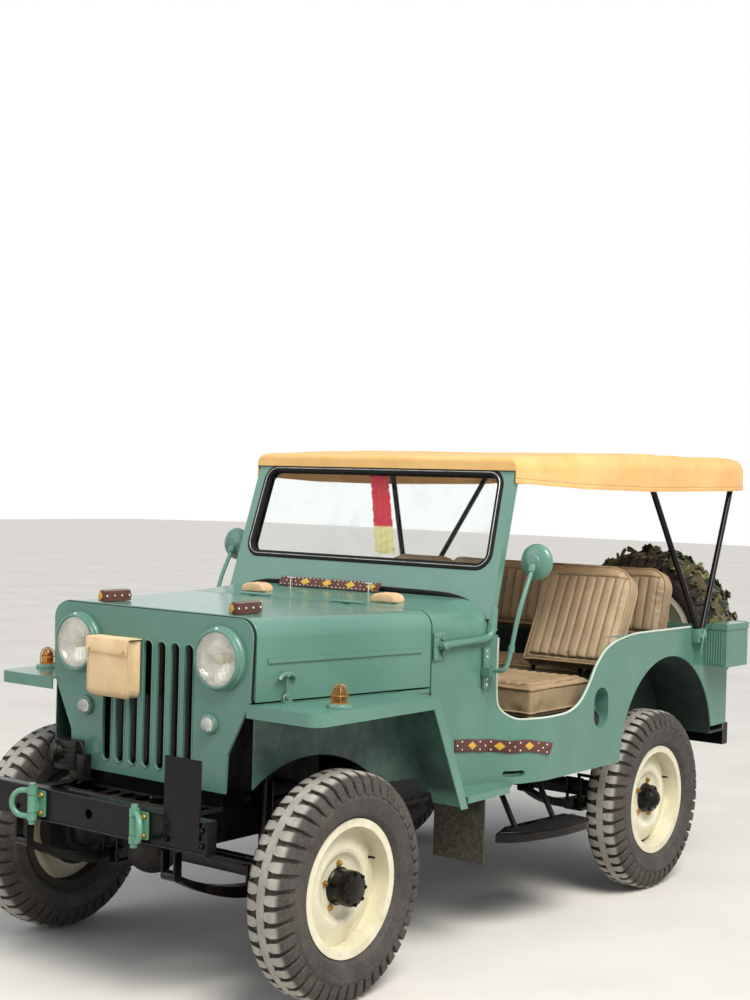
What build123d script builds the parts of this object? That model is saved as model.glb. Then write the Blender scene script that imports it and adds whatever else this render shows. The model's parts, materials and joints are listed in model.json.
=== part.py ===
from build123d import *
import math
import os

# An open four-wheel-drive army car with flat front fenders, a high hood, a folding screen and a canvas roof.
# Millimetres. While a piece is drawn, X points to the car's left, Y runs back from the front axle and Z is the
# height over the ground. The finished pieces are moved along Y, so that the origin is midway along the car.

# Wheels and axles
WHEELBASE = 2032
TRACK = 1300
TYRE_RADIUS = 368
TYRE_WIDTH = 170
RIM_RADIUS = 203
RIM_FLANGE = 222
RIM_HALF = 62
DRUM_RADIUS = 125
DRUM_FACE = 75
DRUM_WALL = 31
HUB_RADIUS = 54
HUB_LENGTH = 74
REAR_HUB_LENGTH = 40
DISC = ((6, 0), (6, 86), (10, 97), (21, 109), (24, 120), (20, 135), (2, 178), (-5, RIM_RADIUS - 5))
DISC_THICK = 7
DRUM_WEB = 18
KINGPIN_INSET = 105
KNUCKLE_BALL = 62
KNUCKLE_WALL = 18
KNUCKLE_GAP = 2
AXLE_TUBE = 35
DIFF_RADIUS = 100
DIFF_X = -180
STEER_ARM = 150
DRAG_ARM = 152
ARM_WIDTH = 34
ARM_THICK = 14
TIE_ROD_RADIUS = 13
JOINT_RADIUS = 16
RUNNING_GAP = 0.3

# Frame
RAIL_OUTER = 371
RAIL_WIDTH = 50
RAIL_BOTTOM = 500
RAIL_TOP = 600
TAIL_HALF = 730
TAIL_BOTTOM = 535
TAIL_TOP = 630
DRAWBAR_Y = WHEELBASE + 663
DRAWBAR_THICK = 16
DRAWBAR_BORE = 13
BUMPER_FRONT = -470
BUMPER_DEPTH = 40
BUMPER_HALF = 525
BUMPER_BOTTOM = 517
BUMPER_TOP = 621
HANDLE_Z = 569
HANDLE_BORE = 16
SPRING_HALF = 440
SPRING_WIDTH = 45

# Body
SHEET = 5
WALL = 10
BODY_HALF = 749
BODY_REAR = WHEELBASE + 556
SILL = 575
RAIL_HEIGHT = 1079
FLOOR_TOP = 610
DOOR_FRONT = 850
FLARE = ((640, 850), (668, 890), (703, 935), (728, 1000), (743, 1060), (749, 1120))
DOOR_POST = 880
COWL_HALF = 640
COWL_TOP = 1245
COWL_CORNER = 150
HOOD_REAR = 549
HOOD_GAP = 8
HOOD_HALF_FRONT = 467
HOOD_HALF_REAR = 600
HOOD_TOP = 1215
HOOD_BOTTOM = 952
HOOD_CORNER = 60
HINGE_RADIUS = 6
HOOD_KNUCKLES = ((-300, -250.5), (-199.5, -150), (150, 199.5), (250.5, 300))
COWL_KNUCKLES = ((-250, -200), (200, 250))
GRILLE_FRONT = -224
GRILLE_THICK = 10
GRILLE_HALF = 467
GRILLE_WAIST = 368
GRILLE_FOOT = 362
GRILLE_BOTTOM = 650
SLOT_COUNT = 7
SLOT_PITCH = 63.3
SLOT_WIDTH = 40
SLOT_BOTTOM = 690
SLOT_TOP = 1113
LAMP_X = 333
LAMP_Z = 1080
LAMP_RADIUS = 106
PARKING_X = 291
PARKING_Z = 866
FENDER_TOP = 946
FENDER_LIP = 41
FENDER_FRONT = -237
FENDER_BEND = 400
FLAP_END = 588
FLAP_BOTTOM = 544
APRON_ARCH_Y = 40
APRON_ARCH_RADIUS = 395
STEP_TOP = 583
ARCH_Y = WHEELBASE + 13
ARCH_Z = 562
ARCH_RADIUS = 405

# Screen, roof and seats
SCREEN_Y = 886
SCREEN_RAKE = 17
SCREEN_HEIGHT = 525
SCREEN_THICK = 32
SCREEN_FOOT = 644
SCREEN_HEAD = 627
GLASS_FOOT = 110
GLASS_HEAD = 478
GLASS_FOOT_HALF = 590
GLASS_HEAD_HALF = 578
GLASS_CORNER = 55
GLASS_THICK = 6
ROOF_FRONT = 1003
ROOF_REAR = WHEELBASE + 808
ROOF_SKIN = 6
BOW_PIVOT_Y = WHEELBASE + 244
BOW_PIVOT_Z = 1060
BOW_TOP = 1783
BOW_RADIUS = 12.5
FRONT_BOW_Y = WHEELBASE - 95
REAR_BOW_Y = WHEELBASE + 783
SEAT_X = 436
SEAT_WIDTH = 450
SEAT_FRONT = 1120
SEAT_REAR = 1590
SEAT_TOP = 900
SEAT_PAD = 120
BACK_Y = 1725
BACK_Z = 925
BACK_LENGTH = 465
BACK_THICK = 70
BACK_RAKE = 26
REAR_BACK_Y = WHEELBASE + 211
REAR_BACK_Z = 1012
REAR_BACK_RAKE = 15
WHEEL_CENTRE = Vector(-400, 1120, 1165)
STEERING_RADIUS = 205
FILLER = ((655, 1478, 738), (724, 1478, 768))
FILLER_RADIUS = 25
BOX_OUTER = 855
BOX_FRONT = WHEELBASE + 320
BOX_REAR = WHEELBASE + 528
BOX_BOTTOM = 905
BOX_TOP = 1085
LID_INNER = 785
LID_HINGE_Y = BOX_REAR + 6
LID_HINGE_Z = BOX_TOP + 3
SPARE_X = 290
SPARE_Y = WHEELBASE + 723
SPARE_Z = 981

HUB_Z = TYRE_RADIUS
KINGPIN_X = TRACK / 2 - KINGPIN_INSET
RAIL_X = RAIL_OUTER - RAIL_WIDTH / 2
HINGE_Y = HOOD_REAR + HOOD_GAP / 2
HINGE_Z = HOOD_TOP + 7
COWL_FRONT = HOOD_REAR + HOOD_GAP
COWL_REAR = SCREEN_Y + 16
SIDES = (1, -1)

# The steering line: arms on the knuckles, the drag link, the drop arm and the column's foot
ARM_HEIGHT = HUB_Z + KNUCKLE_BALL + KNUCKLE_GAP + KNUCKLE_WALL - 4
DRAG_X = DRAG_ARM - KINGPIN_X
DRAG_Z = ARM_HEIGHT + ARM_THICK + 26
DROP_X = DRAG_X - 23
DROP_Y = 250
DROP_Z = DRAG_Z + DRAG_ARM
COLUMN_FOOT = (DRAG_X + 33, DROP_Y, DROP_Z + 10)
COLUMN_LINE = (WHEEL_CENTRE - Vector(*COLUMN_FOOT)).normalized()


def block(x, y, z):
    """A box from three ranges."""
    size = [high - low for low, high in (x, y, z)]
    middle = [(low + high) / 2 for low, high in (x, y, z)]
    return Pos(*middle) * Box(*size)


def rod(start, end, radius):
    """A round bar between two points."""
    line = Vector(*end) - Vector(*start)
    plane = Plane(origin=start, z_dir=line)
    return plane * Cylinder(radius, line.length, align=(Align.CENTER, Align.CENTER, Align.MIN))


def side_prism(points, x):
    """An outline of (y, z) points, filled between two values of X."""
    face = make_face(Polyline(*points, close=True))
    plane = Plane(origin=(x[0], 0, 0), x_dir=(0, 1, 0), z_dir=(1, 0, 0))
    return extrude(plane * face, amount=x[1] - x[0])


def plan_prism(points, z):
    """An outline of (x, y) points, filled between two heights."""
    face = make_face(Polyline(*points, close=True))
    return extrude(Pos(0, 0, z[0]) * face, amount=z[1] - z[0])


def front_plane(y):
    """A plane across the car, with X to the left and Z up, that faces forward."""
    return Plane(origin=(0, y, 0), x_dir=(1, 0, 0), z_dir=(0, -1, 0))


def front_prism(face, y):
    """A flat outline of (x, z), filled between two values of Y."""
    return extrude(front_plane(y[0]) * face, amount=y[0] - y[1])


def tube(points, bend, radius):
    """A round tube along straight runs joined by bends of one radius."""
    path = FilletPolyline(*points, radius=bend)
    start = Plane(origin=path @ 0, z_dir=path % 0)
    return sweep(start * Circle(radius), path=path)


def both(shape):
    """A piece and its mirror image on the other side of the car."""
    return [shape, mirror(shape, Plane.YZ)]


def arch_outline(half, bottom, top, corner):
    """A section like an upturned U: half width, foot, crown and the radius of its upper corners."""
    side = top - corner
    bend = corner * (1 - math.cos(math.radians(45)))
    lines = [
        Line((-half, bottom), (-half, side)),
        ThreePointArc((-half, side), (-half + bend, top - bend), (-half + corner, top)),
        Line((-half + corner, top), (half - corner, top)),
        ThreePointArc((half - corner, top), (half - bend, top - bend), (half, side)),
        Line((half, side), (half, bottom)),
        Line((half, bottom), (-half, bottom)),
    ]
    return make_face(lines)


def arch_loft(sections, inset=0.0):
    """A straight loft through (y, half, bottom, top, corner) sections, each smaller by inset."""
    faces = []
    for y, half, bottom, top, corner in sections:
        outline = arch_outline(half - inset, bottom, top - inset, max(corner - inset, 1))
        faces.append(front_plane(y) * outline)
    return loft(faces, ruled=True)


def hood_line(y):
    """Half width of the hood at a place along the car."""
    share = (y - GRILLE_FRONT) / (HOOD_REAR - GRILLE_FRONT)
    return HOOD_HALF_FRONT + share * (HOOD_HALF_REAR - HOOD_HALF_FRONT)


def cowl_line(y):
    """Half width of the cowl at a place along the car."""
    share = (y - COWL_FRONT) / (DOOR_FRONT - COWL_FRONT)
    return HOOD_HALF_REAR + share * (COWL_HALF - HOOD_HALF_REAR)


def flare(offset):
    """Points (x, y) along the curve that widens the tub behind the cowl, moved outward by offset."""
    points = []
    last = len(FLARE) - 1
    for i, (x, y) in enumerate(FLARE):
        before, after = FLARE[max(i - 1, 0)], FLARE[min(i + 1, last)]
        along = (0, 1) if i == last else (after[0] - before[0], after[1] - before[1])
        size = math.hypot(*along)
        points.append((x + offset * along[1] / size, y - offset * along[0] / size))
    return points


def flare_band(outer, inner, y, z):
    """A curved sheet along the flare between two offsets from it, kept between two places along the car."""
    curves = []
    for offset in (outer, inner):
        points = flare(offset)
        points[0] = (points[0][0], FLARE[0][1])
        curves.append((points, Spline(*points, tangents=((0.5, 1), (0, 1)))))
    (far, far_curve), (near, near_curve) = curves
    edges = [far_curve, near_curve, Line(far[0], near[0]), Line(far[-1], near[-1])]
    sheet = extrude(Pos(0, 0, z[0]) * make_face(edges), amount=z[1] - z[0])
    return sheet & block((500, 900), y, z)


def side_wedge(offset, y, z):
    """The space outside the hood's side line, moved out by offset, on the car's left."""
    low, high = y
    points = [
        (hood_line(low) + offset, low),
        (BODY_HALF * 2, low),
        (BODY_HALF * 2, high),
        (hood_line(high) + offset, high),
    ]
    return plan_prism(points, z)


# Wheels, drawn at the origin with their outer side towards +X.


def tyre():
    """Upright sidewalls, rounded shoulders and a nearly flat crown."""
    half = TYRE_WIDTH / 2
    bead = RIM_RADIUS + 1
    bead_x = RIM_HALF - 6
    lip = RIM_FLANGE + 2
    shoulder = lip + (TYRE_RADIUS - lip) * 5 / 8
    crown = half - 35
    right = [
        Line((bead_x, bead), (bead_x, lip)),
        ThreePointArc((bead_x, lip), (half, lip + (shoulder - lip) * 11 / 18), (half - 5, shoulder)),
        ThreePointArc((half - 5, shoulder), (half - 14, TYRE_RADIUS - 20), (crown, TYRE_RADIUS - 3)),
        Line((crown, TYRE_RADIUS - 3), (crown - 14, TYRE_RADIUS)),
    ]
    left = [mirror(edge, Plane.YZ) for edge in right]
    across = [
        Line((-bead_x, bead), (bead_x, bead)),
        Line((14 - crown, TYRE_RADIUS), (crown - 14, TYRE_RADIUS)),
    ]
    return revolve(make_face(right + left + across), Axis.X)


def rim(hub_length, drum, openings):
    """Rim, dished disc and hub, with the brake drum behind them where there is one."""
    band = [
        (-RIM_HALF, RIM_RADIUS - 7),
        (-RIM_HALF, RIM_FLANGE),
        (-RIM_HALF + 4, RIM_FLANGE),
        (-RIM_HALF + 5, RIM_RADIUS),
        (RIM_HALF - 5, RIM_RADIUS),
        (RIM_HALF - 4, RIM_FLANGE),
        (RIM_HALF, RIM_FLANGE),
        (RIM_HALF, RIM_RADIUS - 7),
    ]
    disc = [*DISC, *((x - DISC_THICK, radius) for x, radius in reversed(DISC))]
    shape = revolve(make_face(Polyline(*band, close=True)), Axis.X)
    shape += revolve(make_face(Polyline(*disc, close=True)), Axis.X)
    if openings:
        ring = rod((-30, 0, 0), (30, 0, 0), RIM_RADIUS - 8) - rod((-31, 0, 0), (31, 0, 0), RIM_RADIUS - 24)
        shape -= ring & Box(80, 150, 500)
    if drum:
        shape += rod((-DRUM_FACE, 0, 0), (3, 0, 0), DRUM_RADIUS - 30)
        shape += rod((-DRUM_FACE, 0, 0), (-10, 0, 0), DRUM_RADIUS)
        shape -= rod((-DRUM_FACE - 1, 0, 0), (-DRUM_WEB, 0, 0), DRUM_RADIUS - DRUM_WALL)
        shape += rod((0, 0, 0), (hub_length, 0, 0), HUB_RADIUS)
    return shape


def place_wheel(shape, side, y):
    """A wheel piece at its hub, turned so that its outer side looks outward."""
    placed = Pos(TRACK / 2, y, HUB_Z) * shape
    return placed if side > 0 else mirror(placed, Plane.YZ)


# Axles, springs and steering.


def front_axle():
    shape = rod((-KINGPIN_X + 40, 0, HUB_Z), (KINGPIN_X - 40, 0, HUB_Z), AXLE_TUBE)
    for side in SIDES:
        shape += Pos(side * KINGPIN_X, 0, HUB_Z) * Sphere(KNUCKLE_BALL)
    shape += Pos(DIFF_X, 0, HUB_Z) * Sphere(DIFF_RADIUS)
    shape += rod((DIFF_X, 0, HUB_Z + 10), (DIFF_X, DIFF_RADIUS + 45, HUB_Z + 10), 42)
    return shape


def rear_axle():
    reach = TRACK / 2 - DRUM_FACE - RUNNING_GAP
    shape = rod((-reach, WHEELBASE, HUB_Z), (reach, WHEELBASE, HUB_Z), AXLE_TUBE)
    shape += Pos(DIFF_X, WHEELBASE, HUB_Z) * Sphere(DIFF_RADIUS)
    nose = WHEELBASE - DIFF_RADIUS - 45
    shape += rod((DIFF_X, WHEELBASE, HUB_Z + 10), (DIFF_X, nose, HUB_Z + 10), 42)
    for side in SIDES:
        inner = side * (reach - 8)
        shape += rod((inner, WHEELBASE, HUB_Z), (side * reach, WHEELBASE, HUB_Z), DRUM_RADIUS + 8)
    return shape


def knuckle_turning():
    """Shell round the axle's ball, backing plate and spindle, turned round X about the origin."""
    inner = KNUCKLE_BALL + KNUCKLE_GAP
    outer = inner + KNUCKLE_WALL
    rim_x = -20
    face = KINGPIN_INSET - DRUM_FACE - RUNNING_GAP
    plate = DRUM_RADIUS + 8
    spindle = 26
    end = KINGPIN_INSET - DRUM_WEB - RUNNING_GAP

    def at(radius, x):
        return (x, math.sqrt(radius**2 - x**2))

    root = math.sqrt(outer**2 - spindle**2)
    turn = math.cos(math.radians(45))
    profile = [
        Line((inner, 0), (end, 0)),
        Line((end, 0), (end, spindle)),
        Line((end, spindle), (root, spindle)),
        ThreePointArc((root, spindle), (outer * turn, outer * turn), at(outer, face)),
        Line(at(outer, face), (face, plate)),
        Line((face, plate), (face - 8, plate)),
        Line((face - 8, plate), at(outer, face - 8)),
        ThreePointArc(at(outer, face - 8), at(outer, 0), at(outer, rim_x)),
        Line(at(outer, rim_x), at(inner, rim_x)),
        ThreePointArc(at(inner, rim_x), (inner * turn, inner * turn), (inner, 0)),
    ]
    return revolve(make_face(profile), Axis.X)


def knuckle(side):
    """The steering knuckle with its kingpin caps and arms."""
    half = ARM_WIDTH / 2
    low, high = ARM_HEIGHT, ARM_HEIGHT + ARM_THICK
    foot = 2 * HUB_Z - ARM_HEIGHT
    shape = Pos(KINGPIN_X, 0, HUB_Z) * knuckle_turning()
    shape += rod((KINGPIN_X, 0, low), (KINGPIN_X, 0, high), half)
    shape += rod((KINGPIN_X, 0, foot), (KINGPIN_X, 0, foot - 14), half)
    shape += block((KINGPIN_X - half, KINGPIN_X + half), (-STEER_ARM, 0), (low, high))
    shape += rod((KINGPIN_X, -STEER_ARM, low), (KINGPIN_X, -STEER_ARM, high), half)
    if side > 0:
        return shape
    end = KINGPIN_X - DRAG_ARM
    shape += block((end, KINGPIN_X), (-half, half), (low, high))
    shape += rod((end, 0, low), (end, 0, high + 12), half)
    return mirror(shape, Plane.YZ)


def tie_rod():
    z = ARM_HEIGHT - 20
    shape = rod((-KINGPIN_X, -STEER_ARM, z), (KINGPIN_X, -STEER_ARM, z), TIE_ROD_RADIUS)
    for side, gap in ((1, 0), (-1, RUNNING_GAP)):
        x = side * KINGPIN_X
        shape += rod((x, -STEER_ARM, z - JOINT_RADIUS), (x, -STEER_ARM, z + JOINT_RADIUS), JOINT_RADIUS)
        shape += rod((x, -STEER_ARM, z), (x, -STEER_ARM, ARM_HEIGHT - gap), 8)
    return shape


def drop_arm():
    """The arm that hangs from the steering box and pushes the drag link."""
    inner = DROP_X + 10
    shape = rod((DROP_X, DROP_Y, DROP_Z), (inner, DROP_Y, DROP_Z), 22)
    shape += block((DROP_X, inner), (DROP_Y - 14, DROP_Y + 14), (DRAG_Z, DROP_Z))
    shape += rod((DROP_X, DROP_Y, DRAG_Z), (inner, DROP_Y, DRAG_Z), 16)
    return shape


def drag_link():
    shape = rod((DRAG_X, 0, DRAG_Z), (DRAG_X, DROP_Y, DRAG_Z), 10)
    shape += rod((DRAG_X, 0, DRAG_Z - 14 + RUNNING_GAP), (DRAG_X, 0, DRAG_Z + 14), 15)
    shape += rod((DROP_X + 10 + RUNNING_GAP, DROP_Y, DRAG_Z), (DRAG_X + 14, DROP_Y, DRAG_Z), 14)
    return shape


def steering_column():
    """Column tube with the steering box on the frame rail at its foot."""
    x = (COLUMN_FOOT[0] - 27, COLUMN_FOOT[0] + 27)
    box = block(x, (DROP_Y - 55, DROP_Y + 60), (RAIL_TOP, DROP_Z + 60))
    shaft = rod((DROP_X + 10 + RUNNING_GAP, DROP_Y, DROP_Z), (COLUMN_FOOT[0], DROP_Y, DROP_Z), 20)
    head = WHEEL_CENTRE - COLUMN_LINE * 35
    return box + shaft + rod(COLUMN_FOOT, tuple(head), 22)


def steering_wheel():
    plane = Plane(origin=tuple(WHEEL_CENTRE), x_dir=(1, 0, 0), z_dir=COLUMN_LINE)
    shape = Torus(STEERING_RADIUS, 11)
    for turn in (90, 210, 330):
        shape += Rot(0, 0, turn) * rod((0, 0, 0), (STEERING_RADIUS, 0, 0), 7)
    shape += Pos(0, 0, -12) * Cylinder(34, 44)
    return plane * shape


def leaf_spring(x, y):
    """A pack of leaves, its U-bolts and plate, and the hangers that carry its eyes."""
    middle = HUB_Z - AXLE_TUBE - 2
    eye = 425
    half = SPRING_WIDTH / 2
    top = ThreePointArc((-SPRING_HALF, eye + 8), (0, middle), (SPRING_HALF, eye + 8))
    low = ThreePointArc((SPRING_HALF, eye - 8), (0, middle - 40), (-SPRING_HALF, eye - 8))
    ends = [Line(top @ 1, low @ 0), Line(low @ 1, top @ 0)]
    plane = Plane(origin=(-half, 0, 0), x_dir=(0, 1, 0), z_dir=(1, 0, 0))
    shape = extrude(plane * make_face([top, low, *ends]), amount=SPRING_WIDTH)
    shape += block((-42, 42), (-60, 60), (middle - 52, middle - 38))
    for dx in (-34, 34):
        for dy in (-48, 48):
            shape += rod((dx, dy, middle - 50), (dx, dy, HUB_Z + AXLE_TUBE + 12), 7)
    for dy in (-48, 48):
        z = HUB_Z + AXLE_TUBE + 8
        shape += rod((-41, dy, z), (41, dy, z), 7)
    for end in (-SPRING_HALF, SPRING_HALF):
        shape += rod((-half - 8, end, eye), (half + 8, end, eye), 16)
        for dx in (-half - 8, half):
            shape += block((dx, dx + 8), (end - 15, end + 15), (eye, RAIL_BOTTOM))
    return Pos(x, y, 0) * shape


def shock_absorber(x, axle_y, offset, head, plate_low):
    """Telescopic damper between the spring's plate and a bracket on the rail, on the left."""
    y = axle_y + offset
    foot = HUB_Z - AXLE_TUBE - 54
    low_y, high_y = sorted((y + math.copysign(16, offset), axle_y + math.copysign(40, offset)))
    shape = block((RAIL_X + 42, x + 16), (low_y, high_y), (foot, foot + 14))
    shape += rod((x, y, foot), (x, y, foot + 40), 12)
    shape += rod((x, y, foot + 40), (x, y, head - 40), 23)
    shape += rod((x, y, head - 40), (x, y, head), 12)
    shape += block((RAIL_OUTER, x + 16), (y - 14, y + 14), (head, head + 12))
    shape += block((RAIL_OUTER, RAIL_OUTER + 6), (y - 30, y + 30), (plate_low, head + 12))
    return shape


def shock_absorbers():
    """The front right one stands behind its axle and further out, clear of the steering arm."""
    rear = both(shock_absorber(412, WHEELBASE, 66, 580, 510))
    left = shock_absorber(412, 0, -80, 720, 520)
    right = mirror(shock_absorber(446, 0, 108, 720, 520), Plane.YZ)
    return [left, right] + rear


# Frame and what hangs from it.


def frame():
    """Two rails, their crossmembers, and the wide bar at the tail with a drawbar plate bored for a pin."""
    inner = RAIL_OUTER - RAIL_WIDTH
    front = BUMPER_FRONT + BUMPER_DEPTH
    rear = BODY_REAR + 12
    shape = block((-TAIL_HALF, TAIL_HALF), (rear, rear + 50), (TAIL_BOTTOM, TAIL_TOP))
    for x in ((-RAIL_OUTER, -inner), (inner, RAIL_OUTER)):
        shape += block(x, (front, rear), (RAIL_BOTTOM, RAIL_TOP))
    for y, depth in ((front + 30, 60), (900, 70), (1620, 60), (WHEELBASE + 300, 60)):
        shape += block((-inner, inner), (y, y + depth), (RAIL_BOTTOM + 15, RAIL_TOP - 15))
    shape += block((-60, 60), (rear, DRAWBAR_Y + 35), (RAIL_BOTTOM, RAIL_BOTTOM + DRAWBAR_THICK))
    shape += block((-60, 60), (rear, rear + 50), (RAIL_BOTTOM, TAIL_BOTTOM + 1))
    pin = (RAIL_BOTTOM - 1, RAIL_BOTTOM + DRAWBAR_THICK + 1)
    return shape - rod((0, DRAWBAR_Y, pin[0]), (0, DRAWBAR_Y, pin[1]), DRAWBAR_BORE)


def front_bumper():
    """A channel with the plate bracket and the hole for a starting handle."""
    front = BUMPER_FRONT
    rear = front + BUMPER_DEPTH
    shape = block((-BUMPER_HALF, BUMPER_HALF), (front, rear), (BUMPER_BOTTOM, BUMPER_TOP))
    hollow = (BUMPER_BOTTOM + 6, BUMPER_TOP - 6)
    shape -= block((-BUMPER_HALF + 6, BUMPER_HALF - 6), (front + 6, rear + 1), hollow)
    for x in ((-RAIL_OUTER, -RAIL_OUTER + RAIL_WIDTH), (RAIL_OUTER - RAIL_WIDTH, RAIL_OUTER)):
        shape += block(x, (front + 3, rear), (BUMPER_BOTTOM + 3, BUMPER_TOP - 3))
    shape += block((343, 495), (front - 6, front), (560, 803))
    shape += rod((0, front + 1, HANDLE_Z), (0, rear, HANDLE_Z), HANDLE_BORE + 9)
    return shape - rod((0, front - 1, HANDLE_Z), (0, rear + 1, HANDLE_Z), HANDLE_BORE)


def tow_shackle(turn):
    """A plate with a barrel on the bumper, an upright pin through it, and a bow on the pin."""
    front = BUMPER_FRONT
    pin_y = front - 30
    shape = block((205, 275), (front - 10, front), (530, 616))
    shape += block((228, 252), (pin_y, front), (545, 601))
    shape += rod((240, pin_y, 545), (240, pin_y, 601), 15)
    shape += rod((240, pin_y, 505), (240, pin_y, 640), 11)
    bow = Pos(30, 0, 0) * Rot(90, 0, 0) * (Torus(42, 9) & Pos(60, 0, 0) * Box(120, 120, 40))
    for z in (-42, 42):
        bow += rod((0, 0, z), (30, 0, z), 9)
        bow += rod((0, 0, z - 12), (0, 0, z + 12), 16)
    return shape + Pos(240, pin_y, 573) * Rot(0, 0, turn) * bow


def tow_shackles():
    """The left bow points outward and forward, the right one to the middle of the car's other side."""
    return [tow_shackle(-30), Pos(-480, 0, 0) * tow_shackle(-155)]


def engine():
    """The heavy mass in the engine bay as one plain block, with the gearbox behind it."""
    inner = RAIL_OUTER - RAIL_WIDTH
    shape = block((-165, 165), (-30, 480), (520, 1060))
    shape += block((-110, 110), (480, 880), (430, 580))
    shape += block((DIFF_X - 60, -100), (700, 900), (420, 560))
    shape += block((-inner, inner), (80, 130), (550, 575))
    return shape


def propshaft(start, end):
    """A shaft that leaves both ends level."""
    low, high = start, end
    path = [low, (low[0], low[1] + 60, low[2]), (high[0], high[1] - 60, high[2]), high]
    return tube(path, 60, 27)


def propshafts():
    z = HUB_Z + 10
    reach = DIFF_RADIUS + 45
    front = propshaft((DIFF_X, reach, z), (DIFF_X, 700, 470))
    rear = propshaft((DIFF_X, 900, 470), (DIFF_X, WHEELBASE - reach, z))
    return [front, rear]


def exhaust():
    route = [(165, 250, 600), (240, 250, 600), (240, 420, 452), (240, 2560, 452)]
    shape = tube(route, 34, 20)
    shape += rod((240, 1100, 452), (240, 1500, 452), 60)
    return shape


def fuel_tank():
    """The tank under the left seat, with its filler neck and cap in the body's side."""
    shape = block((250, 680), (1180, 1560), (FLOOR_TOP, 765))
    return shape + rod(*FILLER, FILLER_RADIUS)


def foot_steps():
    """A board under each side, pointed in front and rounded behind, on two brackets from the frame."""
    outer = Spline((620, 960), (705, 1080), (742, 1260), (745, 1400), tangents=((1, 0.5), (0, 1)))
    edges = [
        outer,
        ThreePointArc((745, 1400), (728, 1450), (690, 1475)),
        Line((690, 1475), (600, 1475)),
        Line((600, 1475), (570, 1100)),
        Line((570, 1100), (620, 960)),
    ]
    board = extrude(Pos(0, 0, 345) * make_face(edges), amount=30)
    for y in (1130, 1400):
        board += tube([(RAIL_OUTER, y, 545), (500, y, 545), (600, y, 365)], 35, 11)
    return both(board)


def mudflaps():
    shape = block((528, 743), (697, 703), (330, STEP_TOP - SHEET - 0.3))
    return both(shape)


# Body.


def grille_outline():
    waist = 953
    half = GRILLE_HALF - 7
    corner = 60
    bend = corner * (1 - math.cos(math.radians(45)))
    top = HOOD_TOP
    left = [
        Line((GRILLE_FOOT, GRILLE_BOTTOM), (GRILLE_WAIST, 775)),
        Line((GRILLE_WAIST, 775), (half, waist)),
        Line((half, waist), (GRILLE_HALF, top - corner)),
        ThreePointArc(
            (GRILLE_HALF, top - corner),
            (GRILLE_HALF - bend, top - bend),
            (GRILLE_HALF - corner, top),
        ),
    ]
    right = [mirror(edge, Plane.YZ) for edge in left]
    across = [
        Line((-GRILLE_HALF + corner, top), (GRILLE_HALF - corner, top)),
        Line((-GRILLE_FOOT, GRILLE_BOTTOM), (GRILLE_FOOT, GRILLE_BOTTOM)),
    ]
    return make_face(left + right + across)


def grille():
    """The pressed front with seven upright slots and the holes behind the headlamps."""
    rear = GRILLE_FRONT + GRILLE_THICK
    shape = front_prism(grille_outline(), (GRILLE_FRONT, rear))
    height = SLOT_TOP - SLOT_BOTTOM
    for index in range(SLOT_COUNT):
        x = (index - (SLOT_COUNT - 1) / 2) * SLOT_PITCH
        slot = Pos(x, (SLOT_TOP + SLOT_BOTTOM) / 2) * SlotOverall(height, SLOT_WIDTH, rotation=90)
        shape -= front_prism(slot, (GRILLE_FRONT - 1, rear + 1))
    for side in SIDES:
        shape -= rod((side * LAMP_X, GRILLE_FRONT - 1, LAMP_Z), (side * LAMP_X, rear + 1, LAMP_Z), 82)
    return shape


def lamp(x, z, radius, depth, dome, bucket):
    """A round lamp on the grille: ring, domed lens and the bucket behind it."""
    half = radius * 0.84
    ball = (half**2 + dome**2) / (2 * dome)
    middle = depth + dome - ball + math.sqrt(ball**2 - half**2 / 4)
    profile = [
        Line((0, depth + dome), (0, -bucket)),
        Line((0, -bucket), (radius * 0.55, -bucket)),
        Line((radius * 0.55, -bucket), (radius * 0.75, 0)),
        Line((radius * 0.75, 0), (radius, 0)),
        Line((radius, 0), (radius, depth - 6)),
        Line((radius, depth - 6), (half, depth)),
        ThreePointArc((half, depth), (half / 2, middle), (0, depth + dome)),
    ]
    shape = revolve(Plane.XZ * make_face(profile), Axis.Z)
    plane = Plane(origin=(x, GRILLE_FRONT, z), x_dir=(1, 0, 0), z_dir=(0, -1, 0))
    return plane * shape


def headlamps():
    return both(lamp(LAMP_X, LAMP_Z, LAMP_RADIUS, 30, 14, 60))


def parking_lamp(x):
    plane = Plane(origin=(x, GRILLE_FRONT, PARKING_Z), x_dir=(1, 0, 0), z_dir=(0, -1, 0))
    shape = Pos(0, 0, 6) * Cylinder(34, 12) + Pos(0, 0, 12) * (Sphere(30) & Pos(0, 0, 15) * Box(70, 70, 30))
    return plane * shape


def marker_lamp():
    """The amber lamp in its cage on the fender."""
    shape = Pos(0, 0, 5) * Cylinder(38, 10) + Pos(0, 0, 32) * Cylinder(22, 44) + Pos(0, 0, 54) * Sphere(22)
    return Pos(690, -60, FENDER_TOP + RUNNING_GAP) * shape


def small_lamps():
    """Parking lamps, fender markers and tail lamps."""
    tail = rod((650, BODY_REAR, 900), (650, BODY_REAR + 35, 900), 38)
    return both(parking_lamp(PARKING_X)) + both(marker_lamp()) + both(tail)


def radiator():
    shape = block((-235, 235), (-195, -125), (640, 1130))
    shape += block((-150, 150), (-190, -130), (1130, 1165))
    shape += rod((0, -160, 1160), (0, -160, 1190), 32)
    grille_back = GRILLE_FRONT + GRILLE_THICK + RUNNING_GAP
    shape += block((-345, 345), (grille_back, -130), (RAIL_TOP, 650))
    return shape


def hood_sections(inset=0.0):
    front = GRILLE_FRONT + GRILLE_THICK + 6
    return [
        (front, hood_line(front), HOOD_BOTTOM, HOOD_TOP, HOOD_CORNER),
        (HOOD_REAR, HOOD_HALF_REAR, HOOD_BOTTOM, HOOD_TOP, HOOD_CORNER),
    ]


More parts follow.
